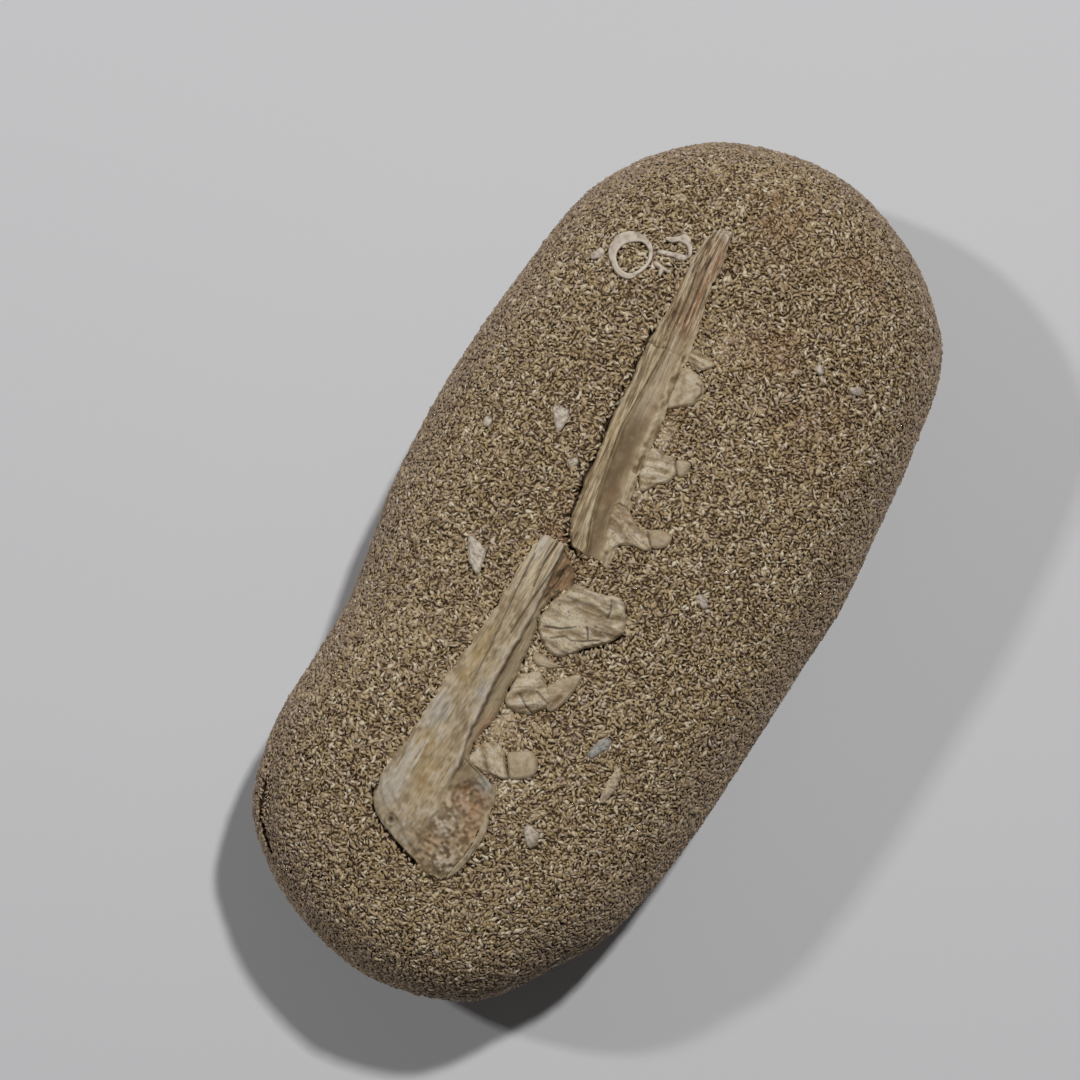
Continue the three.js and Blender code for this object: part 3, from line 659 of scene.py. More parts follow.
def tooth_material(colours):
    """Fossil dentine and enamel, now francolite: cream, smooth on the crowns, brown in the cracks."""
    made = new_material("fossil_enamel_and_dentine", (1.1, 6), (0.32, 3))
    material, tree, shader, _, mottle, speckle = made
    relief, stain = (masks_of(tree, mask) for mask in ("relief", "stain"))
    stops = [(0.36, colours.tooth_khaki), (0.5, colours.tooth_cream), (0.7, colours.bone_white)]
    base = add_node(tree, "ShaderNodeValToRGB", {0: mottle}, None, stops).outputs[0]
    dirt = add_node(tree, "ShaderNodeMapRange", {0: speckle, 1: 0.44, 2: 0.32, 3: 0, 4: 0.6}).outputs[0]
    dirt = add_node(tree, "ShaderNodeMath", {0: dirt, 1: stain[2]}, {"operation": "MULTIPLY"}).outputs[0]
    base = layered(tree, base, [
        (colours.enamel, relief[0]), (colours.tooth_pale, stain[1]), (colours.rust, stain[0]),
        (colours.bone_groove, relief[1]), (colours.bone_groove, dirt), (colours.crevice_dirt_and_painted_shade, relief[2]),
    ])
    rough = add_node(tree, "ShaderNodeBump", {"Height": speckle, "Distance": 0.08 * MM, "Strength": 0.6})
    set_inputs(tree, shader, {
        "Base Color": base, "Normal": rough.outputs[0], "Roughness": 0.55, "IOR": 1.62,
        "Specular IOR Level": 0.3,
    })
    return material


def shell_material(name, body, edge, colours):
    """Calcite shell, cut and weathered: chalky, pale at the edges, with faint growth layers."""
    material, tree, shader, _, mottle, chalk = new_material(name, (1.2, 4), (0.4, 3))
    relief = masks_of(tree, "relief")
    stops = [(0.3, body), (0.7, edge)]
    base = add_node(tree, "ShaderNodeValToRGB", {0: mottle}, None, stops).outputs[0]
    base = layered(tree, base, [
        (edge, relief[0]), (colours.bone_groove, relief[1]), (colours.crevice_dirt_and_painted_shade, relief[2]),
    ])
    rough = add_node(tree, "ShaderNodeBump", {"Height": chalk, "Distance": 0.05 * MM, "Strength": 0.6})
    set_inputs(tree, shader, {
        "Base Color": base, "Normal": rough.outputs[0], "Roughness": 0.6, "IOR": 1.58,
    })
    return material


def paper_material(colour):
    """Matt paper, pressed smooth: an even pale grey with no gloss."""
    material, tree, shader, _, fibre = new_material("matt_paper_pressed", (1.5, 3))
    rough = add_node(tree, "ShaderNodeBump", {"Height": fibre, "Distance": 0.02 * MM, "Strength": 0.3})
    set_inputs(tree, shader, {"Base Color": colour, "Normal": rough.outputs[0], "Roughness": 0.9})
    return material


def size_property(name, description, millimetres):
    return bpy.props.FloatProperty(
        name=name, description=description, default=millimetres * MM, min=0.01 * MM, max=20 * MM,
        subtype="DISTANCE", unit="LENGTH", precision=5,
    )


def colour_property(name, description, code):
    return bpy.props.FloatVectorProperty(
        name=name, description=description, default=from_hex(code), size=4, min=0, max=1, subtype="COLOR"
    )


class FossilSizes(bpy.types.PropertyGroup):
    """Sizes of the surface detail."""

    cement_step: size_property("Cement step", "Mesh step of the cement between the grains", 0.72)
    cement_depth: size_property("Cement depth", "How far the cement lies below the stone's face", 0.36)
    top_spacing: size_property("Grain spacing, top", "Distance between grains above the widest contour", 0.57)
    under_spacing: size_property("Grain spacing, below", "Distance between grains below it", 0.82)
    grain_length: size_property("Grain length", "Usual length of a sand grain", 1.32)
    bone_step: size_property("Bone step", "Mesh step of the bones, teeth and shells", 0.16)


class FossilColours(bpy.types.PropertyGroup):
    """Colours of the stone and of what is set in it."""

    cement_dark: colour_property("Cement, dark", "Darker clay between the grains", "#39280f")
    cement_light: colour_property("Cement, light", "Lighter clay between the grains", "#68523a")
    grain_dark: colour_property("Grain, dark", "Darkest sand grains", "#705b40")
    grain_brown: colour_property("Grain, brown", "Brown sand grains", "#a48c65")
    grain_tan: colour_property("Grain, tan", "Tan sand grains", "#cdb78f")
    grain_cream: colour_property("Grain, cream", "Palest sand grains", "#e9dcc2")
    # Also laid on the grains low on the sides as painted shade
    grain_mauve: colour_property("Grain, mauve", "Mauve-grey sand grains", "#b09a8c")
    rust: colour_property("Iron stain", "Iron-stained sand and bone", "#9a704c")
    ochre: colour_property("Ochre stain", "Ochre-stained bone", "#b39358")
    bone_pale: colour_property("Bone, pale", "Crests of the bone's fibres", "#dccaa8")
    bone_tan: colour_property("Bone, tan", "Body of the bone", "#b59e7a")
    bone_brown: colour_property("Bone, brown", "Darker body of the bone", "#8b7453")
    bone_groove: colour_property("Bone, groove", "Smooth grooves of the bone", "#735d40")
    bone_white: colour_property("Bone, bleached", "Bleached crust on the bone", "#d2c6b4")
    blue_grey: colour_property("Bone, blue-grey", "Blue-grey patches of the bone", "#b0aca4")
    # Dirt in cracks, and also the colour of painted shade and painted shadow that the bones' dark relief mask
    # lays in a crevice, a hole and below raised edges
    crevice_dirt_and_painted_shade: colour_property("Crevice", "Dirt in cracks", "#35281a")
    tooth_cream: colour_property("Tooth, cream", "Body of the teeth", "#c4b08d")
    tooth_khaki: colour_property("Tooth, khaki", "Darker body of the teeth", "#9c8664")
    tooth_pale: colour_property("Tooth, pale", "Palest ribs of the teeth", "#d9cbb0")
    enamel: colour_property("Enamel", "Smooth crowns", "#b5a283")
    shell: colour_property("Shell", "Body of the shell", "#b6a799")
    shell_edge: colour_property("Shell edge", "Pale edges of the shell", "#ddd0bc")
    pink_bone: colour_property("Pinkish splinter", "Long splinter in the face", "#b39a86")
    scrap_bone: colour_property("Blue-grey scrap", "Scrap of bone in the face", "#8d8a80")
    paper: colour_property("Paper", "Floor under the stone", "#dedee0")


class FossilStage(bpy.types.PropertyGroup):
    """Light and view."""

    key_power: bpy.props.FloatProperty(
        name="Main light", description="Strength of the main light", default=7.7, min=0, unit="POWER",
    )
    side_power: bpy.props.FloatProperty(
        name="Side light", description="Strength of the side light", default=3.4, min=0, unit="POWER",
    )
    sky: bpy.props.FloatProperty(
        name="Room light", description="Strength of the even light from all round", default=0.056, min=0,
    )
    azimuth: bpy.props.FloatProperty(
        name="Azimuth", description="Way the camera looks, round the stone", default=math.radians(30.1),
        subtype="ANGLE",
    )
    elevation: bpy.props.FloatProperty(
        name="Elevation", description="Height of the camera over the horizon", default=math.radians(84),
        subtype="ANGLE",
    )
    distance: bpy.props.FloatProperty(
        name="Distance", description="From the camera to the stone", default=0.43, min=0.1,
        subtype="DISTANCE", unit="LENGTH",
    )
    lens: bpy.props.FloatProperty(
        name="Lens", description="Focal length", default=88.3, min=10, subtype="DISTANCE_CAMERA",
    )


def towards(bearing, elevation):
    """A unit direction, from a bearing round from +X towards +Y and a height over the horizon."""
    flat = math.cos(elevation)
    return Vector((flat * math.cos(bearing), flat * math.sin(bearing), math.sin(elevation)))


def add_softbox(name, bearing, elevation, power):
    """A square soft light that shines at the middle from a bearing and a height in degrees."""
    data = bpy.data.lights.new(name, "AREA")
    data.shape = "SQUARE"
    data.size = LIGHT_SIZE
    data.energy = power
    lamp = bpy.data.objects.new(name, data)
    bpy.context.scene.collection.objects.link(lamp)
    lamp.location = towards(math.radians(bearing), math.radians(elevation)) * LIGHT_DISTANCE
    lamp.rotation_euler = (-lamp.location).to_track_quat("-Z", "Y").to_euler()


class FOSSIL_OT_stage(bpy.types.Operator):
    """Lay the paper floor, and set the two soft lights and the camera"""

    bl_idname = "fossil.stage"
    bl_label = "Floor, lights and camera"

    def execute(self, context):
        stage, colours = context.scene.fossil_stage, context.scene.fossil_colours
        corners = [(i * FLOOR_HALF, j * FLOOR_HALF, 0) for i, j in ((-1, -1), (1, -1), (1, 1), (-1, 1))]
        mesh = bpy.data.meshes.new("paper_floor")
        mesh.from_pydata(corners, [], [(0, 1, 2, 3)])
        mesh.materials.append(paper_material(colours.paper))
        floor = bpy.data.objects.new("paper_floor", mesh)
        context.scene.collection.objects.link(floor)

        add_softbox("main_light", 86, 60, stage.key_power)
        add_softbox("side_light", 190, 45, stage.side_power)
        world = bpy.data.worlds.new("room")
        world.use_nodes = True
        background = world.node_tree.nodes["Background"]
        background.inputs["Color"].default_value = (1, 1, 1, 1)
        background.inputs["Strength"].default_value = stage.sky
        context.scene.world = world
        context.scene.view_settings.view_transform = "Standard"

        data = bpy.data.cameras.new("camera")
        data.lens = stage.lens
        data.sensor_width = 36
        camera = bpy.data.objects.new("camera", data)
        context.scene.collection.objects.link(camera)
        target = Vector((SHIFT + AIM) * MM)
        back = towards(stage.azimuth - math.pi / 2, stage.elevation)
        side = towards(stage.azimuth, 0)
        turn = Matrix((side, back.cross(side), back)).transposed()
        camera.matrix_world = Matrix.Translation(target + back * stage.distance) @ turn.to_4x4()
        context.scene.camera = camera
        return {"FINISHED"}


def set_outlines():
    """Outlines of all that is set in the stone's face."""
    loops = {}
    for name, tooth in TEETH.items():
        loops[name] = rounded(tooth["root"], 40)
        if "crown" in tooth:
            loops[name + "_crown"] = rounded(tooth["crown"], 36)
    loops["scrap"] = rounded(SCRAP_6, 24)
    loops["wall"] = np.array(WALL_8)
    for i, pairs in enumerate((FRONT_BONE, REAR_BONE, SHELL_SCOOP, *SHELL_SPLINTER)):
        pairs = np.array(pairs, float)
        loops[f"band_{i}"] = np.concatenate([pairs[:, :2], pairs[::-1, 2:]])
    loops["ring"] = rounded(RING_OUTER, 40)
    for name, (outline, _) in CHIPS.items():
        loops[name] = np.array(outline)
    for i, (middle, size, turn) in enumerate(FLECKS):
        loops[f"fleck_{i}"] = ellipse(middle, size, 14, turn)
    return loops


def ellipse(middle, size, count, turn):
    angle = np.linspace(0, 2 * math.pi, count, endpoint=False)
    along, across, turn = size[0] * np.cos(angle), size[1] * np.sin(angle), math.radians(turn)
    x = middle[0] + along * math.cos(turn) - across * math.sin(turn)
    y = middle[1] + along * math.sin(turn) + across * math.cos(turn)
    return np.stack([x, y], 1)


def set_depth(x, y):
    """How far each place lies inside the outline of something set in the face; below 0 outside of all."""
    deepest = np.full(len(x), -FAR)
    for name, loop in set_outlines().items():
        low, high = loop.min(0) - NEAR_SET, loop.max(0) + NEAR_SET
        near = np.nonzero((x > low[0]) & (x < high[0]) & (y > low[1]) & (y < high[1]))[0]
        if len(near) == 0:
            continue
        depth = depth_inside(x[near], y[near], loop)
        if name == "ring":
            depth = np.minimum(depth, -depth_inside(x[near], y[near], rounded(RING_INNER, 40)))
        deepest[near] = np.maximum(deepest[near], depth)
    return deepest


def seam_depth(x, y, height):
    """How deep each place lies in an open seam of the rock."""
    total = np.zeros(np.shape(x))
    for line, width, deep in SEAMS.values():
        total = np.maximum(total, deep * bump(line_distance(x, y, line), 0, width))
    return total * smooth(height, 19, 22)


class Stone:
    """The cobble's worn surface as a fine grid: rings from the foot's middle up and over to the spine."""

    def __init__(self, step):
        angle = np.linspace(math.pi / 2, 0, PROFILE_STEPS)
        foot = np.linspace(0.02, FOOT_SHARE, PROFILE_STEPS // 2)
        foot = np.stack([foot, np.zeros(len(foot))], 1)
        under = np.stack([mix(FOOT_SHARE, 1, np.cos(angle) ** 0.9), WAIST * (1 - np.sin(angle))], 1)
        share = np.sin(np.linspace(math.pi / 2, 0.1, PROFILE_STEPS)) ** (2 / DOME_POWER)
        share = np.concatenate([share, [0.15, 0.1, 0.05, 0.01]])
        top = np.stack([share, dome_height(share)], 1)
        profile = np.concatenate([foot, under[1:], top[1:]])
        steps = np.hypot(np.diff(profile[:, 0]) * HALF_WIDTH, np.diff(profile[:, 1]))
        run = np.concatenate([[0], np.cumsum(steps)])
        even = np.linspace(0, run[-1], int(run[-1] / step))
        share, height = (np.interp(even, run, profile[:, i])[:, None] for i in (0, 1))
        loop = rounded(CONTOUR, int(CONTOUR_LENGTH / step) // 2 * 2)
        loop = np.roll(loop, -int(np.argmax(loop[:, 1])), 0)
        x, y = loop[:, 0] * share, loop[:, 1] * mix(SPINE_SHARE, 1, share)
        height = np.broadcast_to(height, x.shape)
        push = 1 + side_wear(x, y, height) / np.hypot(x, y)
        x, y = x * push, y * push
        self.places = np.stack([x, y, height + top_wear(x, y, height)], -1)
        along = np.gradient(self.places, axis=0)
        around = np.roll(self.places, -1, 1) - np.roll(self.places, 1, 1)
        out = np.cross(around, along)
        self.out = out / np.maximum(np.linalg.norm(out, axis=-1, keepdims=True), 1e-9)

    def at(self, row, turn):
        """Places and outward directions at fractional rows and turns of the grid."""
        rows, around = self.places.shape[:2]
        low = np.clip(np.floor(row).astype(int), 0, rows - 2)
        left = np.floor(turn * around).astype(int)
        up, along = (row - low)[:, None], (turn * around - left)[:, None]
        found = []
        for grid in (self.places, self.out):
            corners = [grid[low + i, (left + j) % around] for i in (0, 1) for j in (0, 1)]
            found.append(mix(mix(corners[0], corners[1], along), mix(corners[2], corners[3], along), up))
        return found


def spots(x, y, table):
    """Soft patches: each a middle and a reach, and where given a stretch along Y and a strength."""
    total = np.zeros(np.shape(x))
    for middle, reach, *more in table:
        stretch, strength = more or (1, 1)
        away = np.hypot(x - middle[0], (y - middle[1]) / stretch)
        total = total + strength * bump(away, 0, reach)
    return total


def rust_mask(x, y):
    """Iron stains of the sand, patchy round their middles."""
    return spots(x, y, RUST_STAINS) * (0.25 + 0.35 * patches(5, (x, 2.5), (y, 2.5)))


def crust_mask(x, y, height):
    """Crusted sand of the top, patchy."""
    crust = spots(x, y, CRUSTS) * (1 + 0.5 * patches(14, (x, 0.9), (y, 0.9)))
    return unit(crust) * (height > WAIST)


class FOSSIL_OT_cement(bpy.types.Operator):
    """Build the cobble's body: the rough cement between the sand grains"""

    bl_idname = "fossil.cement"
    bl_label = "Cement of the cobble"

    def execute(self, context):
        sizes, colours = context.scene.fossil_sizes, context.scene.fossil_colours
        stone = Stone(sizes.cement_step / MM)
        places, out = stone.places.reshape(-1, 3), stone.out.reshape(-1, 3)
        x, y, height = places.T
        rough = 0.12 * patches(11, (x, 1.4), (y, 1.4), (height, 1.4))
        rough = rough + 0.1 * patches(12, (x, 0.8), (y, 0.8), (height, 0.8))
        crust = crust_mask(x, y, height)
        depth = sizes.cement_depth / MM - rough - CRUST_LIFT * crust + seam_depth(x, y, height)
        upper = height > WAIST
        depth[upper] += POCKET_DEPTH * smooth(set_depth(x[upper], y[upper]), -0.1, 0.5)
        places = places - out * depth[:, None]
        places[:, 2] = np.maximum(places[:, 2], CEMENT_FOOT)
        shape = skin(places.reshape(stone.places.shape), strips=True)
        masks = {"stain": [rust_mask(x, y), crust, np.zeros(len(x))]}
        material = sandstone_cement_material(colours)
        add_piece("cobble_cement", shape, material, ["sandstone_cobble"], masks)
        return {"FINISHED"}


def grain_places(stone, sizes, random):
    """Where grains lie and which way is out: row by row over the stone, apart from what is set in it."""
    rows, around = stone.places.shape[:2]
    rings = np.linalg.norm(np.roll(stone.places, -1, 1) - stone.places, axis=-1)
    climb = np.linalg.norm(np.diff(stone.places, axis=0), axis=-1).mean(1)
    climb = np.concatenate([[0], np.cumsum(climb)])
    row_list, turn_list = [], []
    here = 0.0
    while here <= climb[-1]:
        row = np.interp(here, climb, np.arange(rows))
        steps = rings[int(row)]
        above = smooth(stone.places[int(row), 0, 2], WAIST - 9, WAIST + 5)
        spacing = mix(sizes.under_spacing, sizes.top_spacing, above) / MM
        count = max(3, int(steps.sum() / spacing))
        run = np.concatenate([[0], np.cumsum(steps)])
        even = (np.arange(count) + random.uniform()) / count * run[-1]
        even = even + random.uniform(-STRAY, STRAY, count) * spacing
        turn_list.append(np.interp(even % run[-1], run, np.arange(around + 1) / around) % 1)
        row_list.append(row + random.uniform(-STRAY, STRAY, count) * spacing / SAND_GRID)
        rise = spacing * ROW_SHARE
        nearly_up = climb[-1] - rise < here < climb[-1] - 0.1
        here = climb[-1] if nearly_up else here + rise
    row = np.clip(np.concatenate(row_list), 0, rows - 1.01)
    places, out = stone.at(row, np.concatenate(turn_list))
    x, y, height = places.T
    upper = height > WAIST
    seam = seam_depth(x, y, height)
    overlap = 0.12 + 0.4 * np.maximum(0, patches(13, (x[upper], 1.1), (y[upper], 1.1)))
    overlap = np.where(seam[upper] > 0.05, -0.05, overlap)
    clear = seam < OPEN_SEAM
    clear[upper] &= set_depth(x[upper], y[upper]) < overlap
    return places[clear], out[clear]


def grain_shapes(places, out, rim, sizes, random):
    """A worn octahedron for each grain: long and a little bent, turned any way and partly sunk."""
    count = len(places)
    length = sizes.grain_length / MM * np.clip(random.lognormal(0, 0.22, count), 0.6, 1.6)
    width = length / random.uniform(2, 3.2, count)
    tall = width * random.uniform(0.8, 1.2, count) * mix(1, 0.7, rim)
    spin = random.uniform(0, math.pi, count)
    up = out + random.normal(0, 0.15, (count, 3))
    up /= np.linalg.norm(up, axis=1, keepdims=True)
    side = np.cross(up, np.where(np.abs(up[:, 2:]) < 0.9, [0, 0, 1.0], [1.0, 0, 0]))
    side /= np.linalg.norm(side, axis=1, keepdims=True)
    other = np.cross(up, side)
    long_way = side * np.cos(spin)[:, None] + other * np.sin(spin)[:, None]
    wide_way = np.cross(up, long_way)
    corners = np.array([(1, 0, 0), (0, 1, 0), (-1, 0, 0), (0, -1, 0), (0, 0, 1), (0, 0, -1)], float)
    corners = corners[None] + random.uniform(-0.25, 0.25, (count, CORNERS, 3))
    corners[:, [0, 2], 1] += random.uniform(-0.9, 0.9, (count, 1))
    middle = places - out * random.uniform(0.12, 0.3, count)[:, None]
    grains = middle[:, None] + (
        corners[..., 0:1] * (long_way * length[:, None] / 2)[:, None]
        + corners[..., 1:2] * (wide_way * width[:, None] / 2)[:, None]
        + corners[..., 2:3] * (up * tall[:, None] / 2)[:, None]
    )
    grains[..., 2] = np.maximum(grains[..., 2], 0)
    return grains


class FOSSIL_OT_sand(bpy.types.Operator):
    """Set sand grains all over the cobble, apart from where a fossil lies in its face"""

    bl_idname = "fossil.sand"
    bl_label = "Sand grains of the cobble"

    def execute(self, context):
        sizes, colours = context.scene.fossil_sizes, context.scene.fossil_colours
        random = np.random.default_rng(2)
        places, out = grain_places(Stone(SAND_GRID), sizes, random)
        count = len(places)
        rim = 1 - smooth(places[:, 2], 27, 37)
        grains = grain_shapes(places, out, rim, sizes, random)
        crust = crust_mask(*places.T)
        # Grains low on the sides are painted darker and more mauve: painted shade of the sides that curve
        # away from the light; the rest of the tone is random
        tone = unit(random.normal(0.52, 0.3, count) - 0.15 * rim + 0.6 * crust)
        mauve = unit(random.uniform(0, 1, count) ** 3 * 0.8 + 0.3 * rim)
        stain = rust_mask(places[:, 0], places[:, 1]) * random.uniform(0.4, 1.2, count)
        material = quartz_sand_material(colours)

        # Each grain's upper and lower faces unfold into the two halves of its own cell of the map
        octahedron = np.array([
            (0, 1, 4), (1, 2, 4), (2, 3, 4), (3, 0, 4), (1, 0, 5), (2, 1, 5), (3, 2, 5), (0, 3, 5),
        ])
        square = np.array([
            (0.47, 0.06), (0.47, 0.94), (0.06, 0.94), (0.06, 0.06), (0.265, 0.5), (0.265, 0.5),
        ])
        cell = square[octahedron] + np.where(np.arange(8) > 3, 0.47, 0)[:, None, None] * [1, 0]
        order = np.argsort(places[:, 1], kind="stable")
        for i, chosen in enumerate(np.array_split(order, SAND_PIECES)):
            number = len(chosen)
            starts = CORNERS * np.arange(number)[:, None, None]
            faces = (octahedron[None] + starts).reshape(-1, 3).tolist()
            columns = math.ceil(math.sqrt(number))
            corner = np.stack([np.arange(number) % columns, np.arange(number) // columns], 1)
            unfolded = (corner[:, None, None] + cell[None]) / columns
            own = [np.repeat(value[chosen], CORNERS) for value in (tone, mauve, stain)]
            zero = np.zeros(number * CORNERS)
            masks = {"grain_tone": [own[0], own[1], zero], "stain": [own[2], zero, zero]}
            shape = grains[chosen].reshape(-1, 3), faces
            add_piece(f"sand_grains_{i + 1}", shape, material, (), masks, unfolded)
        return {"FINISHED"}


def with_walls(top, depth, masks):
    """Rings with a wall down each side to a floor under their lowest place, and their masks to match."""
    walls = [top[:, :1].copy(), top[:, -1:].copy()]
    for wall in walls:
        wall[..., 2] = top[..., 2].min() - depth
    for mask in masks.values():
        for i, values in enumerate(mask):
            values = np.broadcast_to(values, top.shape[:2])
            mask[i] = np.concatenate([values[:, :1], values, values[:, -1:]], 1)
    return np.concatenate([walls[0], top, walls[1]], 1)


def bone_shape(pairs, step, floor_depth, relief, ragged=0.0):
    """A bone's rings and masks. Its relief is worked out across it, from 0 left to 1 right."""
    pairs = np.array(pairs, float)
    middles = (pairs[:, :2] + pairs[:, 2:]) / 2
    length = np.linalg.norm(np.diff(middles, axis=0), axis=1).sum()
    edges = rounded(pairs, int(length / step), closed=False)
    along = np.linspace(0, 1, len(edges))
    wobble = np.stack([
        0.16 * patches(seed, (along * length, 1.1)) + ragged * patches(seed + 2, (along * length, 0.45))
        for seed in (21, 22)
    ], 1)
    across_count = int(np.hypot(*(pairs[:, 2:] - pairs[:, :2]).T).max() / step)
    across = np.linspace(0, 1, across_count)
    across_grid = np.broadcast_to(across, (len(edges), across_count))
    width = np.hypot(*(edges[:, 2:] - edges[:, :2]).T)
    shift = mix(wobble[:, :1], wobble[:, 1:], across) / width[:, None] * (np.abs(across - 0.5) * 2) ** 2
    x = mix(edges[:, 0:1], edges[:, 2:3], across + shift)
    y = mix(edges[:, 1:2], edges[:, 3:4], across + shift)
    near_end = smooth(np.abs(along - 0.5) * length, length / 2 - 1.6, length / 2)[:, None]
    y = y + near_end * ragged * (2.5 * patches(25, (x, 1.3)) + 1.2 * patches(26, (x, 0.5)))
    rise, masks = relief(across_grid, x, y, width[:, None])
    for tooth in TEETH.values():
        rise = rise - TOOTH_SEAT * smooth(depth_inside(x, y, tooth["root"]), -0.1, 0.5)
    top = np.stack([x, y, face_height(x, y) + rise], -1)
    return skin(with_walls(top, floor_depth, masks)), masks


def streaks(seed, across_mm, along_mm):
    """Bone fibres: long thin streaks from -1 to 1."""
    coarse = patches(seed, (across_mm, 0.7), (along_mm, 10))
    middle = patches(seed + 1, (across_mm, 0.42), (along_mm, 6))
    thin = patches(seed + 2, (across_mm, 0.28), (along_mm, 4))
    return 0.3 * coarse + 0.5 * middle + 0.5 * thin


# The straight run of the front bone's sides: y, then x of the left side and of the right
FRONT_RUN = (
    [-1, 3, 11, 20, 36, 46, 55], [-6, -7.6, -8.8, -9.9, -11.1, -11.4, -10.4],
    [1.3, 0.7, -1, -2.3, -4.6, -6.7, -8],
)

# Cracks of each bone: a line, its width and how deep it is
FRONT_CRACKS = [
    (
        [(-8.5, 36), (-8, 33.4), (-7.9, 28), (-7.9, 19.5), (-7, 14.3), (-6, 9), (-4.7, 4.4), (-3.1, 0.4)],
        0.1, 0.3,
    ),
    ([(-11.5, 32.9), (-10.3, 33.1), (-9.4, 32.8), (-8.6, 33.2), (-7.9, 33.5)], 0.1, 0.3),
    ([(-9.9, 46.2), (-9.1, 42.4), (-8.7, 39.2), (-8.5, 35.9)], 0.12, 0.3),
    ([(-9.1, 49.3), (-8.5, 45.6), (-8, 41.7), (-7.6, 38.5)], 0.12, 0.25),
    ([(-10.4, 51.5), (-10.6, 48.8), (-10.4, 46)], 0.1, 0.2),
]


def cracked(x, y, lines):
    """How deep narrow cracks cut into each place, and how dark they make it."""
    cut, dark = np.zeros(x.shape), np.zeros(x.shape)
    for line, width, deep in lines:
        near = bump(line_distance(x, y, line), 0, width)
        cut, dark = np.maximum(cut, deep * near), np.maximum(dark, near)
    return cut, dark


def front_bone_relief(across, x, y, width):
    """Front length: a striated ridge on the left, a smooth groove and a low, crusted margin on the right."""
    left, right = (np.interp(y, FRONT_RUN[0], run) for run in FRONT_RUN[1:])
    lateral = (x - left) / (right - left)
    ridge_x, ridge_y = np.array(FRONT_CRACKS[0][0][::-1]).T
    beside = x - np.interp(y, ridge_y, ridge_x)
    at_tip = smooth(y, 33, 39)
    lower = 1 - at_tip
    ridge = 1 - smooth(beside, -0.15, 0.3)
    groove = smooth(beside, 0, 0.8) * (1 - smooth(lateral, 0.58, 0.8)) * lower
    faded = groove * smooth(y, 19, 27)
    crust = smooth(lateral, 0.7, 0.84) * lower
    body = np.clip(greatest(ridge, 0.4 * crust, at_tip), 0.05, 1)
    streak = streaks(31, lateral * 7, y)
    lumps = patches(36, (x, 0.8), (y, 1.1)) + 0.6 * patches(37, (x, 0.4), (y, 0.5))
    rough = lumps * greatest(crust, 0.6 * at_tip)
    cut, dark = cracked(x, y, FRONT_CRACKS)

    rise = 0.15 + 0.75 * smooth(across, 0, 0.08) * mix(0.6, 1, lower)
    rise = rise - 0.25 * at_tip * bump(lateral, 0.55, 0.25)
    rise = rise - 0.5 * groove - 0.25 * (1 - ridge) * lower + 0.2 * bump(lateral, 0.82, 0.08)
    rise = rise - 0.4 * smooth(lateral, 0.86, 1) * lower - 0.55 * smooth(y, 53.3, 54.8)
    rise = rise - 0.45 * smooth(lateral, 0.45, 0.9) * smooth(-y, -3, 0)
    rise = rise + mix(0.15, 0.22, at_tip) * body * streak - cut + 0.16 * rough - 0.15 * bump(y, 33.3, 0.35)

    # Pale where the fibre streaks stand highest: partly the bone's pale fibres, partly a painted highlight on
    # their crests; the crust is pale of its own
    crest = unit(streak * 3 - 0.2) * body * 0.7 + 0.65 * crust * unit(lumps + 0.5)
    crest = crest + bump(across, 0.94, 0.05) * at_tip + 0.8 * faded * unit(streak * 3 + 0.1)
    mottled = 0.8 + 0.25 * patches(39, (lateral, 0.12), (y, 2.5)) + 0.2 * patches(40, (x, 0.4), (y, 0.6))
    grooves = greatest(
        unit(-streak * 3 - 0.4) * body * 0.8, (groove - 0.7 * faded) * mottled,
        0.7 * unit(-rough * 1.8 - 0.1),
    )
    dark = greatest(
        # Crack dirt, then painted shade along the bone's left edge, in the open crevice beside it
        0.75 * dark, 0.9 * (1 - smooth(across * width, 0.1, 0.3)) * lower,
        0.6 * at_tip * unit(-streak * 3 - 0.8),
    )
    rust = spots(x, y, FRONT_RUST) + at_tip * (0.35 + 0.6 * unit(patches(38, (lateral, 0.14), (y, 5)) + 0.2))
    rust = rust + 0.7 * faded * bump(lateral, 0.72, 0.06)
    ochre = 0.35 * ridge * lower * unit(patches(33, (y, 6), (lateral, 0.3)))
    white = 0.6 * smooth(y + 0.3 * x, 49.8, 50.6) * unit(0.9 + lumps)
    white = white + 0.5 * bump(across, 0.05, 0.06) * smooth(y, 44, 47)
    white = white + 0.45 * at_tip * unit(streak * 3 - 0.5) + 0.25 * faded
    fibrous = greatest(body, 0.7 * faded)
    masks = {"relief": [crest, grooves, dark], "stain": [rust, ochre, fibrous], "tint": [0, white, 0]}
    return rise, masks


REAR_CRACKS = [
    ([(-9.6, -4.5), (-9.1, -12), (-8.6, -16.7), (-8.2, -21.1), (-8, -25.2)], 0.13, 0.12),
    ([(-7.4, -1.5), (-7.6, -5), (-7.2, -9)], 0.14, 0.3),
    ([(-5.8, -2), (-5.9, -6), (-6.4, -11), (-6.6, -17)], 0.12, 0.2),
    ([(-4.2, -3.6), (-4.4, -6.4), (-4.8, -9.6)], 0.14, 0.3),
]

# The raised left plate of the rear length ends at this step: y and x
STEP_Y = [2, 7, 12.3, 16.2, 20.4, 24.4, 27.7, 31.2, 34.5, 37.8, 41.4, 46]
STEP_X = [-6.2, -5.6, -5, -5.1, -5.1, -5, -4.9, -4.6, -4.2, -3.3, -3.6, -3]
REAR_RIM = [(-12.4, -45.4), (-11.4, -47.4), (-9.5, -49), (-6.5, -49.9), (-5.3, -51.1), (-2.5, -52.5)]


# Middles of the rear length's socket, of its two knobs and of the small hole beside them
SOCKET = (0.6, -41.9)
KNOBS = [(-0.8, -47.3), (2.2, -51.8)]
FORAMEN = (-8.2, -50.8)
PITTED = [((0.8, -42.5), 3.4), ((1, -50), 4.8)]

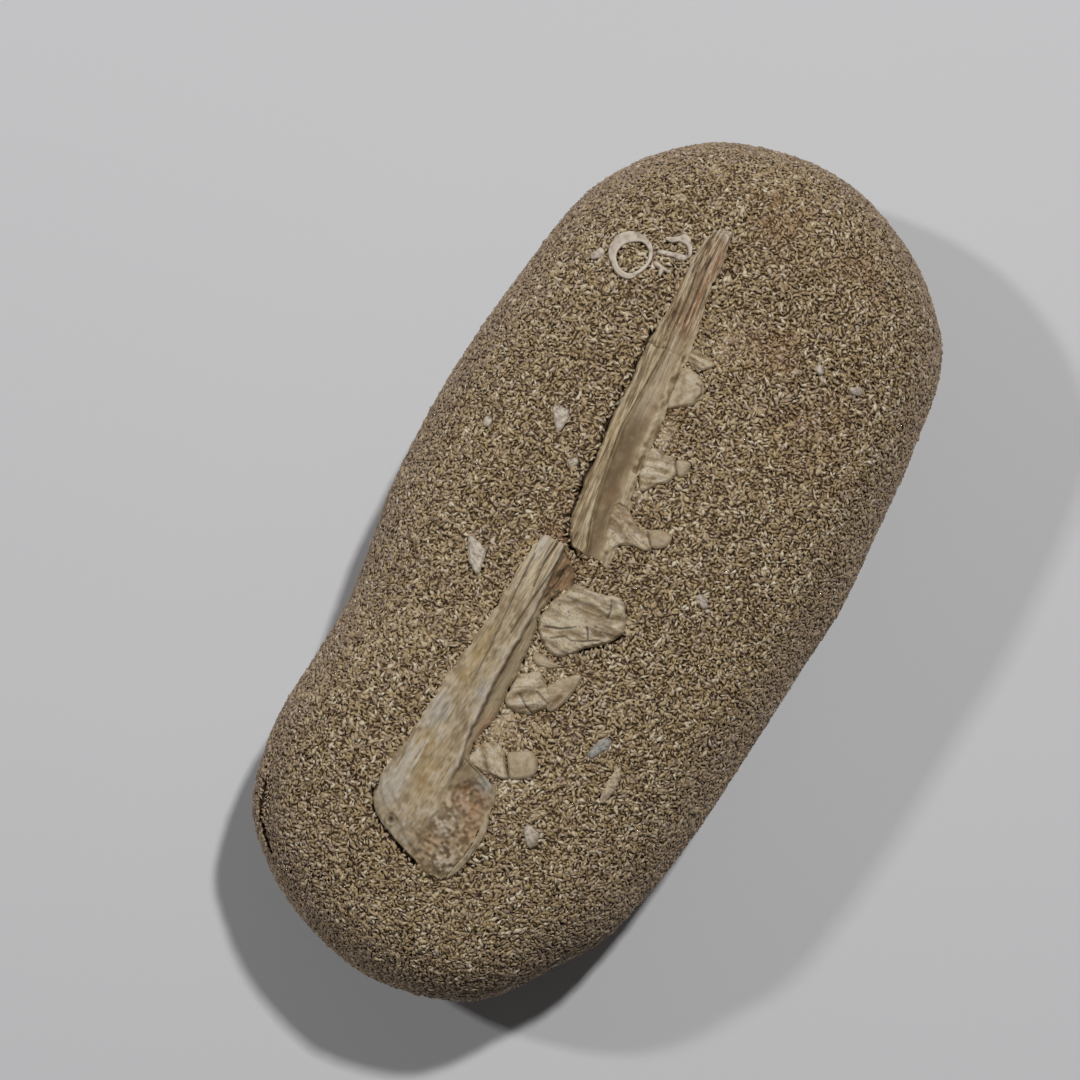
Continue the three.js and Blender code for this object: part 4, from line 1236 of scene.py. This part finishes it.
# Soft patches of colour on the bones: middle, reach, stretch along the bone and strength
FRONT_RUST = [((-4.1, 9), 0.4, 3, 0.5), ((-2.6, 20.8), 1.1, 1.6, 0.5)]
REAR_RUST = [((-3, -31), 0.9, 4, 0.55), ((3, -45.2), 1.8, 1.6, 0.45), ((-1, -50), 2.5, 1, 0.35)]
REAR_OCHRE = [((-9.3, -24), 1.3, 5, 0.6), ((-9.8, -37.6), 1.8, 1.2, 0.7), ((-6.8, -42), 2, 2, 0.5)]
REAR_BLUE = [
    ((-5.8, -27), 1, 1.6, 0.75), ((-10.3, -32.6), 1.5, 1.6, 0.8), ((-10.6, -46), 1.5, 2, 0.6),
    ((1.5, -38.9), 1.3, 1, 0.8),
]
REAR_WHITE = [((-9.4, -2.6), 1.1, 3, 0.7), ((-10.4, -47), 2, 1, 0.35)]
REAR_BRUSHED = [((-9.8, -41), 2, 1.8, 1), ((-9.6, -32), 1.8, 2, 0.7)]


def rear_bone_relief(across, x, y, width):
    """Rear length: a raised plate on the left, a brown furrow beside it, then the wide hollowed end."""
    step_x = np.interp(-y, STEP_Y, STEP_X) + 0.15 * patches(46, (y, 0.9))
    wide = smooth(-y, 38, 44)
    plate = 1 - smooth(x - step_x, -0.15, mix(0.4, 1.2, wide))
    furrow = (1 - plate) * (1 - wide)
    crushed = (1 - plate) * wide
    lip = bump(x, step_x - 0.35, 0.28) * (1 - wide)
    top_end = 1 - smooth(-y, 7, 13)
    crumbled = top_end * (1 - plate) * smooth(x, -6.4, -4.6)
    socket_away = np.hypot(x - SOCKET[0], y - SOCKET[1])
    knob_away = np.minimum(*(np.hypot(x - knob_x, y - knob_y) for knob_x, knob_y in KNOBS))
    foramen_away = np.hypot(x - FORAMEN[0], y - FORAMEN[1])
    socket = bump(socket_away, 0, 2)
    knobs = bump(knob_away, 0, 1.7)
    foramen = bump(foramen_away, 0, 0.42)
    streak = streaks(41, (x + 0.05 * -y) * 1.1, -y * 2)
    lumps = patches(47, (x, 1.6), (y, 2.2)) + 0.6 * patches(48, (x, 0.7), (y, 0.9))
    fine = patches(50, (x, 0.32), (y, 0.8)) + 0.4 * lumps
    shaft = plate * mix(0.45, 1, top_end) * (1 - 0.5 * smooth(-y, 36, 44)) + 0.35 * furrow
    pits = unit(spots(x, y, PITTED))
    pitted = patches(44, (x, 0.45), (y, 0.45)) + 0.5 * patches(45, (x, 0.9), (y, 0.9))
    rim = line_distance(x, y, REAR_RIM)
    outside = smooth(-(x + 12.4) * 0.55 - (y + 45.4), 0, 1.2)
    cut, dark = cracked(x, y, REAR_CRACKS)

    rise = 0.15 + 0.35 * smooth(across, 0, 0.07) + 0.4 * plate + 0.15 * lip - 0.15 * furrow
    rise = rise + 0.35 * bump(across, 0.94, 0.05) * furrow
    rise = rise - 0.9 * socket + 0.6 * knobs - 0.7 * foramen - cut + 0.14 * shaft * streak
    rise = rise + 0.25 * pits * pitted + 0.08 * plate * lumps + 0.05 * fine
    rise = rise + 0.2 * crumbled * (fine + lumps) - 0.4 * crumbled * smooth(x, -5, -3)
    rise = rise - 0.25 * outside * smooth(rim, 0.2, 0.9)

    shadow = bump(x, step_x + 0.18, 0.2) * (1 - wide) * (1 - top_end * 0.5)
    dark = greatest(
        # Crack dirt, painted shade filling the small hole, and a dark ring round it
        0.7 * dark, 0.9 * foramen, 0.5 * bump(foramen_away, 1, 0.15),
        shadow * (0.42 + 0.35 * patches(49, (y, 1.6))), pits * 0.65 * unit(-pitted * 2.4 - 0.8),
        # Painted shade: a dark arc on the socket's left rim only
        0.6 * bump(socket_away, 2.6, 0.3) * (x < 2) * smooth(pitted, -0.9, 0.1),
        crumbled * np.clip(-pitted * 1.6 - 0.3, 0, 0.7), 0.45 * bump(knob_away, 2.1, 0.25) * (y < -44),
        # Painted shadow at the lower end, along the bone's raised left edge
        0.8 * (1 - smooth(across * width, 0.05, 0.25)) * smooth(-y, 44, 48),
    )
    crest = greatest(
        # Pale on the highest fibre streaks: partly pale fibres, partly a painted highlight on their crests
        unit(streak * 3 - 0.2) * shaft * 0.8, 0.3 * plate, 0.8 * crushed * unit(pitted * 1.6),
        bump(across, 0.9, 0.1) * furrow * smooth(-y, 9, 12),
    )
    grooves = greatest(
        unit(-streak * 3 - 0.6) * shaft * 0.8, 0.65 * furrow * smooth(-y, 8, 12),
        0.95 * top_end * smooth(x, -7, -5.8) * unit(0.85 + streak),
        0.55 * plate * unit(-lumps * 1.2 - 0.1) * (1 - top_end),
        0.6 * plate * unit(-fine * 1.6 - 0.2) * (1 - top_end),
        0.5 * outside * unit(0.6 + lumps), 0.35 * crushed * unit(-pitted * 1.6 - 0.2),
    )
    rust = 0.5 * top_end * smooth(x, -6.4, -5.2) * smooth(pitted, -0.8, 0.4) + spots(x, y, REAR_RUST)
    rust = rust + 0.6 * bump(socket_away, 1.5, 1.2) + 0.2 * pits * smooth(pitted, -0.4, 0.6)
    white = spots(x, y, REAR_WHITE) + spots(x, y, REAR_BRUSHED) * unit(streak * 3 + 0.3)
    white = white + 0.5 * lip + 0.5 * unit(knobs * 1.6) * smooth(pitted, -0.8, 0.3)
    white = white + 0.3 * plate * unit(lumps - 0.3) + 0.2 * bump(rim, 0, 0.35)
    white = white + 0.45 * plate * unit(fine * 1.5 - 0.3) * (1 - top_end)
    white = white + 0.45 * bump(socket_away, 0, 2.3) * smooth(pitted, 0, 0.6)
    stain = [rust, spots(x, y, REAR_OCHRE), unit(0.7 * shaft + 0.1)]
    tint = [spots(x, y, REAR_BLUE), white, 0]
    return rise, {"relief": [crest, grooves, dark], "stain": stain, "tint": tint}


class FOSSIL_OT_bones(bpy.types.Operator):
    """Build the two lengths of jawbone"""

    bl_idname = "fossil.bones"
    bl_label = "Jawbone, front and rear"

    def execute(self, context):
        step = context.scene.fossil_sizes.bone_step / MM
        colours = context.scene.fossil_colours
        for name, pairs, relief, turn in (
            ("jaw_front", FRONT_BONE, front_bone_relief, 8), ("jaw_rear", REAR_BONE, rear_bone_relief, 0),
        ):
            material = fossil_bone_material("fossil_bone_split_" + name, colours, turn)
            shape, masks = bone_shape(pairs, step, BONE_FLOOR, relief, 0.14)
            add_piece(name + "_bone", shape, material, [name], masks)
        return {"FINISHED"}


def mound_shape(outline, step, rise, floor_depth, relief, ragged=0.0):
    """A low mound over an outline, with rings from its floor inwards, and its masks."""
    around = np.hypot(*(np.array(outline) - np.roll(outline, 1, 0)).T).sum()
    loop = rounded(outline, max(12, int(around / step)))
    middle = loop.mean(0)
    away = loop - middle
    reach = np.hypot(*away.T)
    turn = np.linspace(0, around, len(loop), endpoint=False)
    jagged = np.sin(turn * 2 * math.pi / around) * patches(7, (turn, 0.5)) + patches(8, (turn, 0.9))
    loop = middle + away * (1 + ragged * jagged / reach)[:, None]
    share = np.linspace(1, 0.02, max(4, int(reach.mean() / step)))[:, None]
    x, y = (mix(middle[i], loop[:, i], share) for i in (0, 1))
    inward = (1 - share) * reach
    profile = 0.1 + 0.6 * smooth(inward, 0, 0.45) + 0.3 * smooth(inward, 0, reach.mean())
    lift, masks = relief(x, y, inward)
    top = np.stack([x, y, face_height(x, y) + rise * profile + lift], -1)
    foot = top[:1].copy()
    foot[..., 2] = top[..., 2].min() - floor_depth
    rings = np.concatenate([foot, top])
    for mask in masks.values():
        for i, values in enumerate(mask):
            values = np.broadcast_to(values, x.shape)
            mask[i] = np.concatenate([values[:1], values])
    return skin(rings), masks


def joined(parts):
    """Several shapes with their masks as one."""
    places, faces, masks = [], [], {}
    for (own_places, own_faces), own_masks in parts:
        start = sum(len(p) for p in places)
        places.append(own_places)
        faces += [[start + i for i in face] for face in own_faces]
        for name, values in own_masks.items():
            masks.setdefault(name, []).append([np.ravel(v) for v in values])
    for name, several in masks.items():
        masks[name] = [np.concatenate(channel) for channel in zip(*several)]
    return (np.concatenate(places), faces), masks


def tooth_relief(tooth, seed, crown):
    """Relief of a root, lobed and ribbed along the tooth, or of a crown, smooth and faintly ribbed."""

    def nearest(key, x, y, width):
        near = [bump(line_distance(x, y, line), 0, width) for line in tooth.get(key, [])]
        return greatest(np.zeros(x.shape), *near)

    def relief(x, y, inward):
        root = 0.25 if crown or "smooth" in tooth else 1.0
        along, across = turned(x, y, tooth.get("turn", 0))
        ribs = patches(seed + 1, (along, 3.4), (across, 0.75))
        ribs = ribs + 0.5 * patches(seed + 4, (along, 2), (across, 0.4))
        rough = patches(seed, (x, 0.55), (y, 0.55))
        fine = patches(seed + 3, (along, 0.9), (across, 0.32))
        inside = smooth(inward, 0, 0.3)
        band, lobe = nearest("bands", x, y, 0.45), nearest("lobes", x, y, 0.9)
        crack = nearest("cracks", x, y, 0.13)
        lift = 0.3 * lobe + mix(0.05, 0.14, root) * ribs + root * (0.06 * rough + 0.08 * fine)
        lift = (lift - 0.3 * crack - 0.3 * band) * inside
        dark = greatest(
            0.8 * crack, 0.55 * root * unit(-fine * 2.4 - 1.2) * (rough < 0.2),
            0.35 * (1 - smooth(inward, 0, 0.16)) * (rough > -0.3),
        )
        brown = np.maximum(0.6 * band, root * 0.55 * unit(-ribs * 1.6 - 0.2))
        rust = 0.15 * unit(patches(seed + 2, (x, 2), (y, 2)))
        if "rust" in tooth:
            middle_x, middle_y, reach = tooth["rust"]
            rust = rust + 0.4 * spots(x, y, [((middle_x, middle_y), reach)])
        pale = 0.45 * unit(ribs * 1.5) * root + 0.3 * lobe
        enamel = unit(0.55 + 0.4 * rough) if crown else 0.4 * (1 - root)
        return lift, {"relief": [enamel, brown, dark], "stain": [rust, pale, root]}

    return relief


class FOSSIL_OT_teeth(bpy.types.Operator):
    """Build the seven teeth, the loose scrap and the wall of a last tooth"""

    bl_idname = "fossil.teeth"
    bl_label = "Teeth"

    def execute(self, context):
        step = context.scene.fossil_sizes.bone_step / MM
        material = tooth_material(context.scene.fossil_colours)
        for i, (name, tooth) in enumerate(TEETH.items()):
            parts = []
            for part, share, ragged in (("root", 1, 0.12), ("crown", 0.85, 0.0)):
                if part in tooth:
                    crown = part == "crown"
                    rise = share * tooth["rise"]
                    relief = tooth_relief(tooth, 60 + 7 * i + 3 * crown, crown)
                    parts.append(mound_shape(tooth[part], step, rise, BONE_FLOOR, relief, ragged))
            shape, masks = joined(parts)
            add_piece(name + "_enamel", shape, material, [name], masks)
        for name, node, outline, rise, seed in (
            ("tooth_6_loose_scrap", "tooth_6_scrap", SCRAP_6, 0.5, 131),
            ("tooth_8_enamel_wall", "tooth_8_wall", WALL_8, 0.8, 133),
        ):
            relief = tooth_relief({}, seed, True)
            shape, masks = mound_shape(outline, step, rise, BONE_FLOOR, relief, 0.05)
            add_piece(name, shape, material, [node], masks)
        return {"FINISHED"}


def ring_shape(step):
    """The shell tube's wall: sections round it, each with a rounded upper edge."""
    count = int(24 / step)
    outer, inner = rounded(RING_OUTER, count), rounded(RING_INNER, count)
    share = np.linspace(0, 1, 14)[:, None]
    x, y = (mix(inner[:, i], outer[:, i], share).T for i in (0, 1))
    share = share.T
    thick = np.hypot(*(outer - inner).T)[:, None]
    rise = 0.15 + 0.35 * np.sqrt(unit(1 - (2 * share - 1) ** 4))
    rise = rise - 0.12 * bump(share, 0.45, 0.25) * smooth(thick, 0.8, 1.5)
    rise = rise + 0.06 * patches(71, (x, 0.6), (y, 0.6))
    top = np.stack([x, y, face_height(x, y) + rise], -1)
    edge = unit(bump(share, 0.05, 0.2) + bump(share, 0.95, 0.2) + (1 - smooth(thick, 0.7, 1.3)))
    worn = patches(73, (x, 0.9), (y, 0.9)) + 0.6 * patches(74, (x, 0.4), (y, 0.4))
    layer = 0.5 * bump(share, 0.62, 0.07) * smooth(-y, -43, -41) + 0.5 * unit(-worn * 1.4 - 0.2)
    dirt = 0.45 * bump(share, 0, 0.07) + 0.3 * unit(-worn - 0.7)
    masks = {"relief": [edge * smooth(worn, -0.6, 0.5), layer, dirt]}
    return skin(with_walls(top, RING_FLOOR, masks), wrapped=True), masks


def shell_band_relief(across, x, y, width):
    """A curved band of shell: rounded across, with pale edges."""
    rough = patches(72, (x, 0.5), (y, 0.5))
    rise = 0.12 + 0.35 * np.sqrt(unit(1 - (2 * across - 1) ** 4)) + 0.08 * rough
    pale = 0.8 * bump(across, 0.08, 0.2) + 0.4 * unit(rough)
    brown = 0.6 * unit(-rough * 1.6 - 0.1)
    return rise, {"relief": [pale, brown, 0.3 * bump(across, 0.97, 0.08)]}


def chip_relief(seed):
    """Relief of a shell chip: slightly faceted, with a dirty rim."""

    def relief(x, y, inward):
        facets, edge = shards(seed, x, y, 1.3, 0.9)
        rough = patches(seed + 1, (x, 0.4), (y, 0.4))
        inside = smooth(inward, 0, 0.25)
        lift = (0.12 * facets + 0.08 * rough) * inside
        pale = 0.8 * unit(patches(seed + 2, (x, 0.8), (y, 0.8)) * 1.5)
        brown = 0.5 * unit(-rough * 1.5 - 0.2)
        dark = np.maximum(0.5 * (1 - smooth(edge, 0.02, 0.1)), 0.35 * (1 - inside))
        return lift, {"relief": [pale, brown, dark]}

    return relief


class FOSSIL_OT_shells(bpy.types.Operator):
    """Build the cut shell tube, the scoop and splinter beside it, and the chips and flecks in the face"""

    bl_idname = "fossil.shells"
    bl_label = "Shells and chips"

    def execute(self, context):
        colours = context.scene.fossil_colours
        step = context.scene.fossil_sizes.bone_step / MM
        shell = shell_material("calcite_shell_cut_and_weathered", colours.shell, colours.shell_edge, colours)
        pink = shell_material("pinkish_bone_splinter_split", colours.pink_bone, colours.bone_pale, colours)
        blue = shell_material("blue_grey_bone_scrap_broken", colours.scrap_bone, colours.blue_grey, colours)
        shape, masks = ring_shape(step)
        add_piece("shell_ring_wall", shape, shell, ["shell_ring"], masks)
        finishes = {"bone_splinter": (pink, "pink_bone"), "bone_scrap": (blue, "blue_bone")}
        for name, bands in (("shell_scoop", [SHELL_SCOOP]), ("shell_splinter", SHELL_SPLINTER)):
            shape, masks = joined([bone_shape(band, step, CHIP_FLOOR, shell_band_relief) for band in bands])
            add_piece(name + "_piece", shape, shell, [name], masks)
        outlines = dict(CHIPS)
        for i, (middle, size, turn) in enumerate(FLECKS):
            outlines[f"shell_fleck_{i + 1}"] = (ellipse(middle, size, 7, turn), FLECK_RISE)
        for i, (name, (outline, rise)) in enumerate(outlines.items()):
            material, slot = finishes.get(name, (shell, "shell"))
            shape, masks = mound_shape(outline, step, rise, CHIP_FLOOR, chip_relief(140 + 3 * i), 0.12)
            add_piece(name + "_piece", shape, material, [name], masks)
        return {"FINISHED"}


OPERATORS = (
    FOSSIL_OT_stage, FOSSIL_OT_cement, FOSSIL_OT_sand, FOSSIL_OT_bones, FOSSIL_OT_teeth, FOSSIL_OT_shells,
)
SETTINGS = {"fossil_sizes": FossilSizes, "fossil_colours": FossilColours, "fossil_stage": FossilStage}


class FOSSIL_PT_panel(bpy.types.Panel):
    """Lists the steps that build the fossil"""

    bl_label = "Fossil jaw"
    bl_idname = "FOSSIL_PT_panel"
    bl_space_type = "VIEW_3D"
    bl_region_type = "UI"
    bl_category = "Fossil"

    def draw(self, context):
        for operator in OPERATORS:
            self.layout.operator(operator.bl_idname)
        for name in SETTINGS:
            group = getattr(context.scene, name)
            box = self.layout.box()
            for key in group.__annotations__:
                box.prop(group, key)


def register():
    for settings in SETTINGS.values():
        bpy.utils.register_class(settings)
    for operator in OPERATORS:
        bpy.utils.register_class(operator)
    bpy.utils.register_class(FOSSIL_PT_panel)
    for name, settings in SETTINGS.items():
        setattr(bpy.types.Scene, name, bpy.props.PointerProperty(type=settings))


def unregister():
    for name in SETTINGS:
        delattr(bpy.types.Scene, name)
    bpy.utils.unregister_class(FOSSIL_PT_panel)
    for group in (OPERATORS, SETTINGS.values()):
        for known in group:
            bpy.utils.unregister_class(known)


def main():
    register()
    bpy.ops.fossil.stage()
    bpy.ops.fossil.cement()
    bpy.ops.fossil.sand()
    bpy.ops.fossil.bones()
    bpy.ops.fossil.teeth()
    bpy.ops.fossil.shells()


if __name__ == "__main__":
    main()
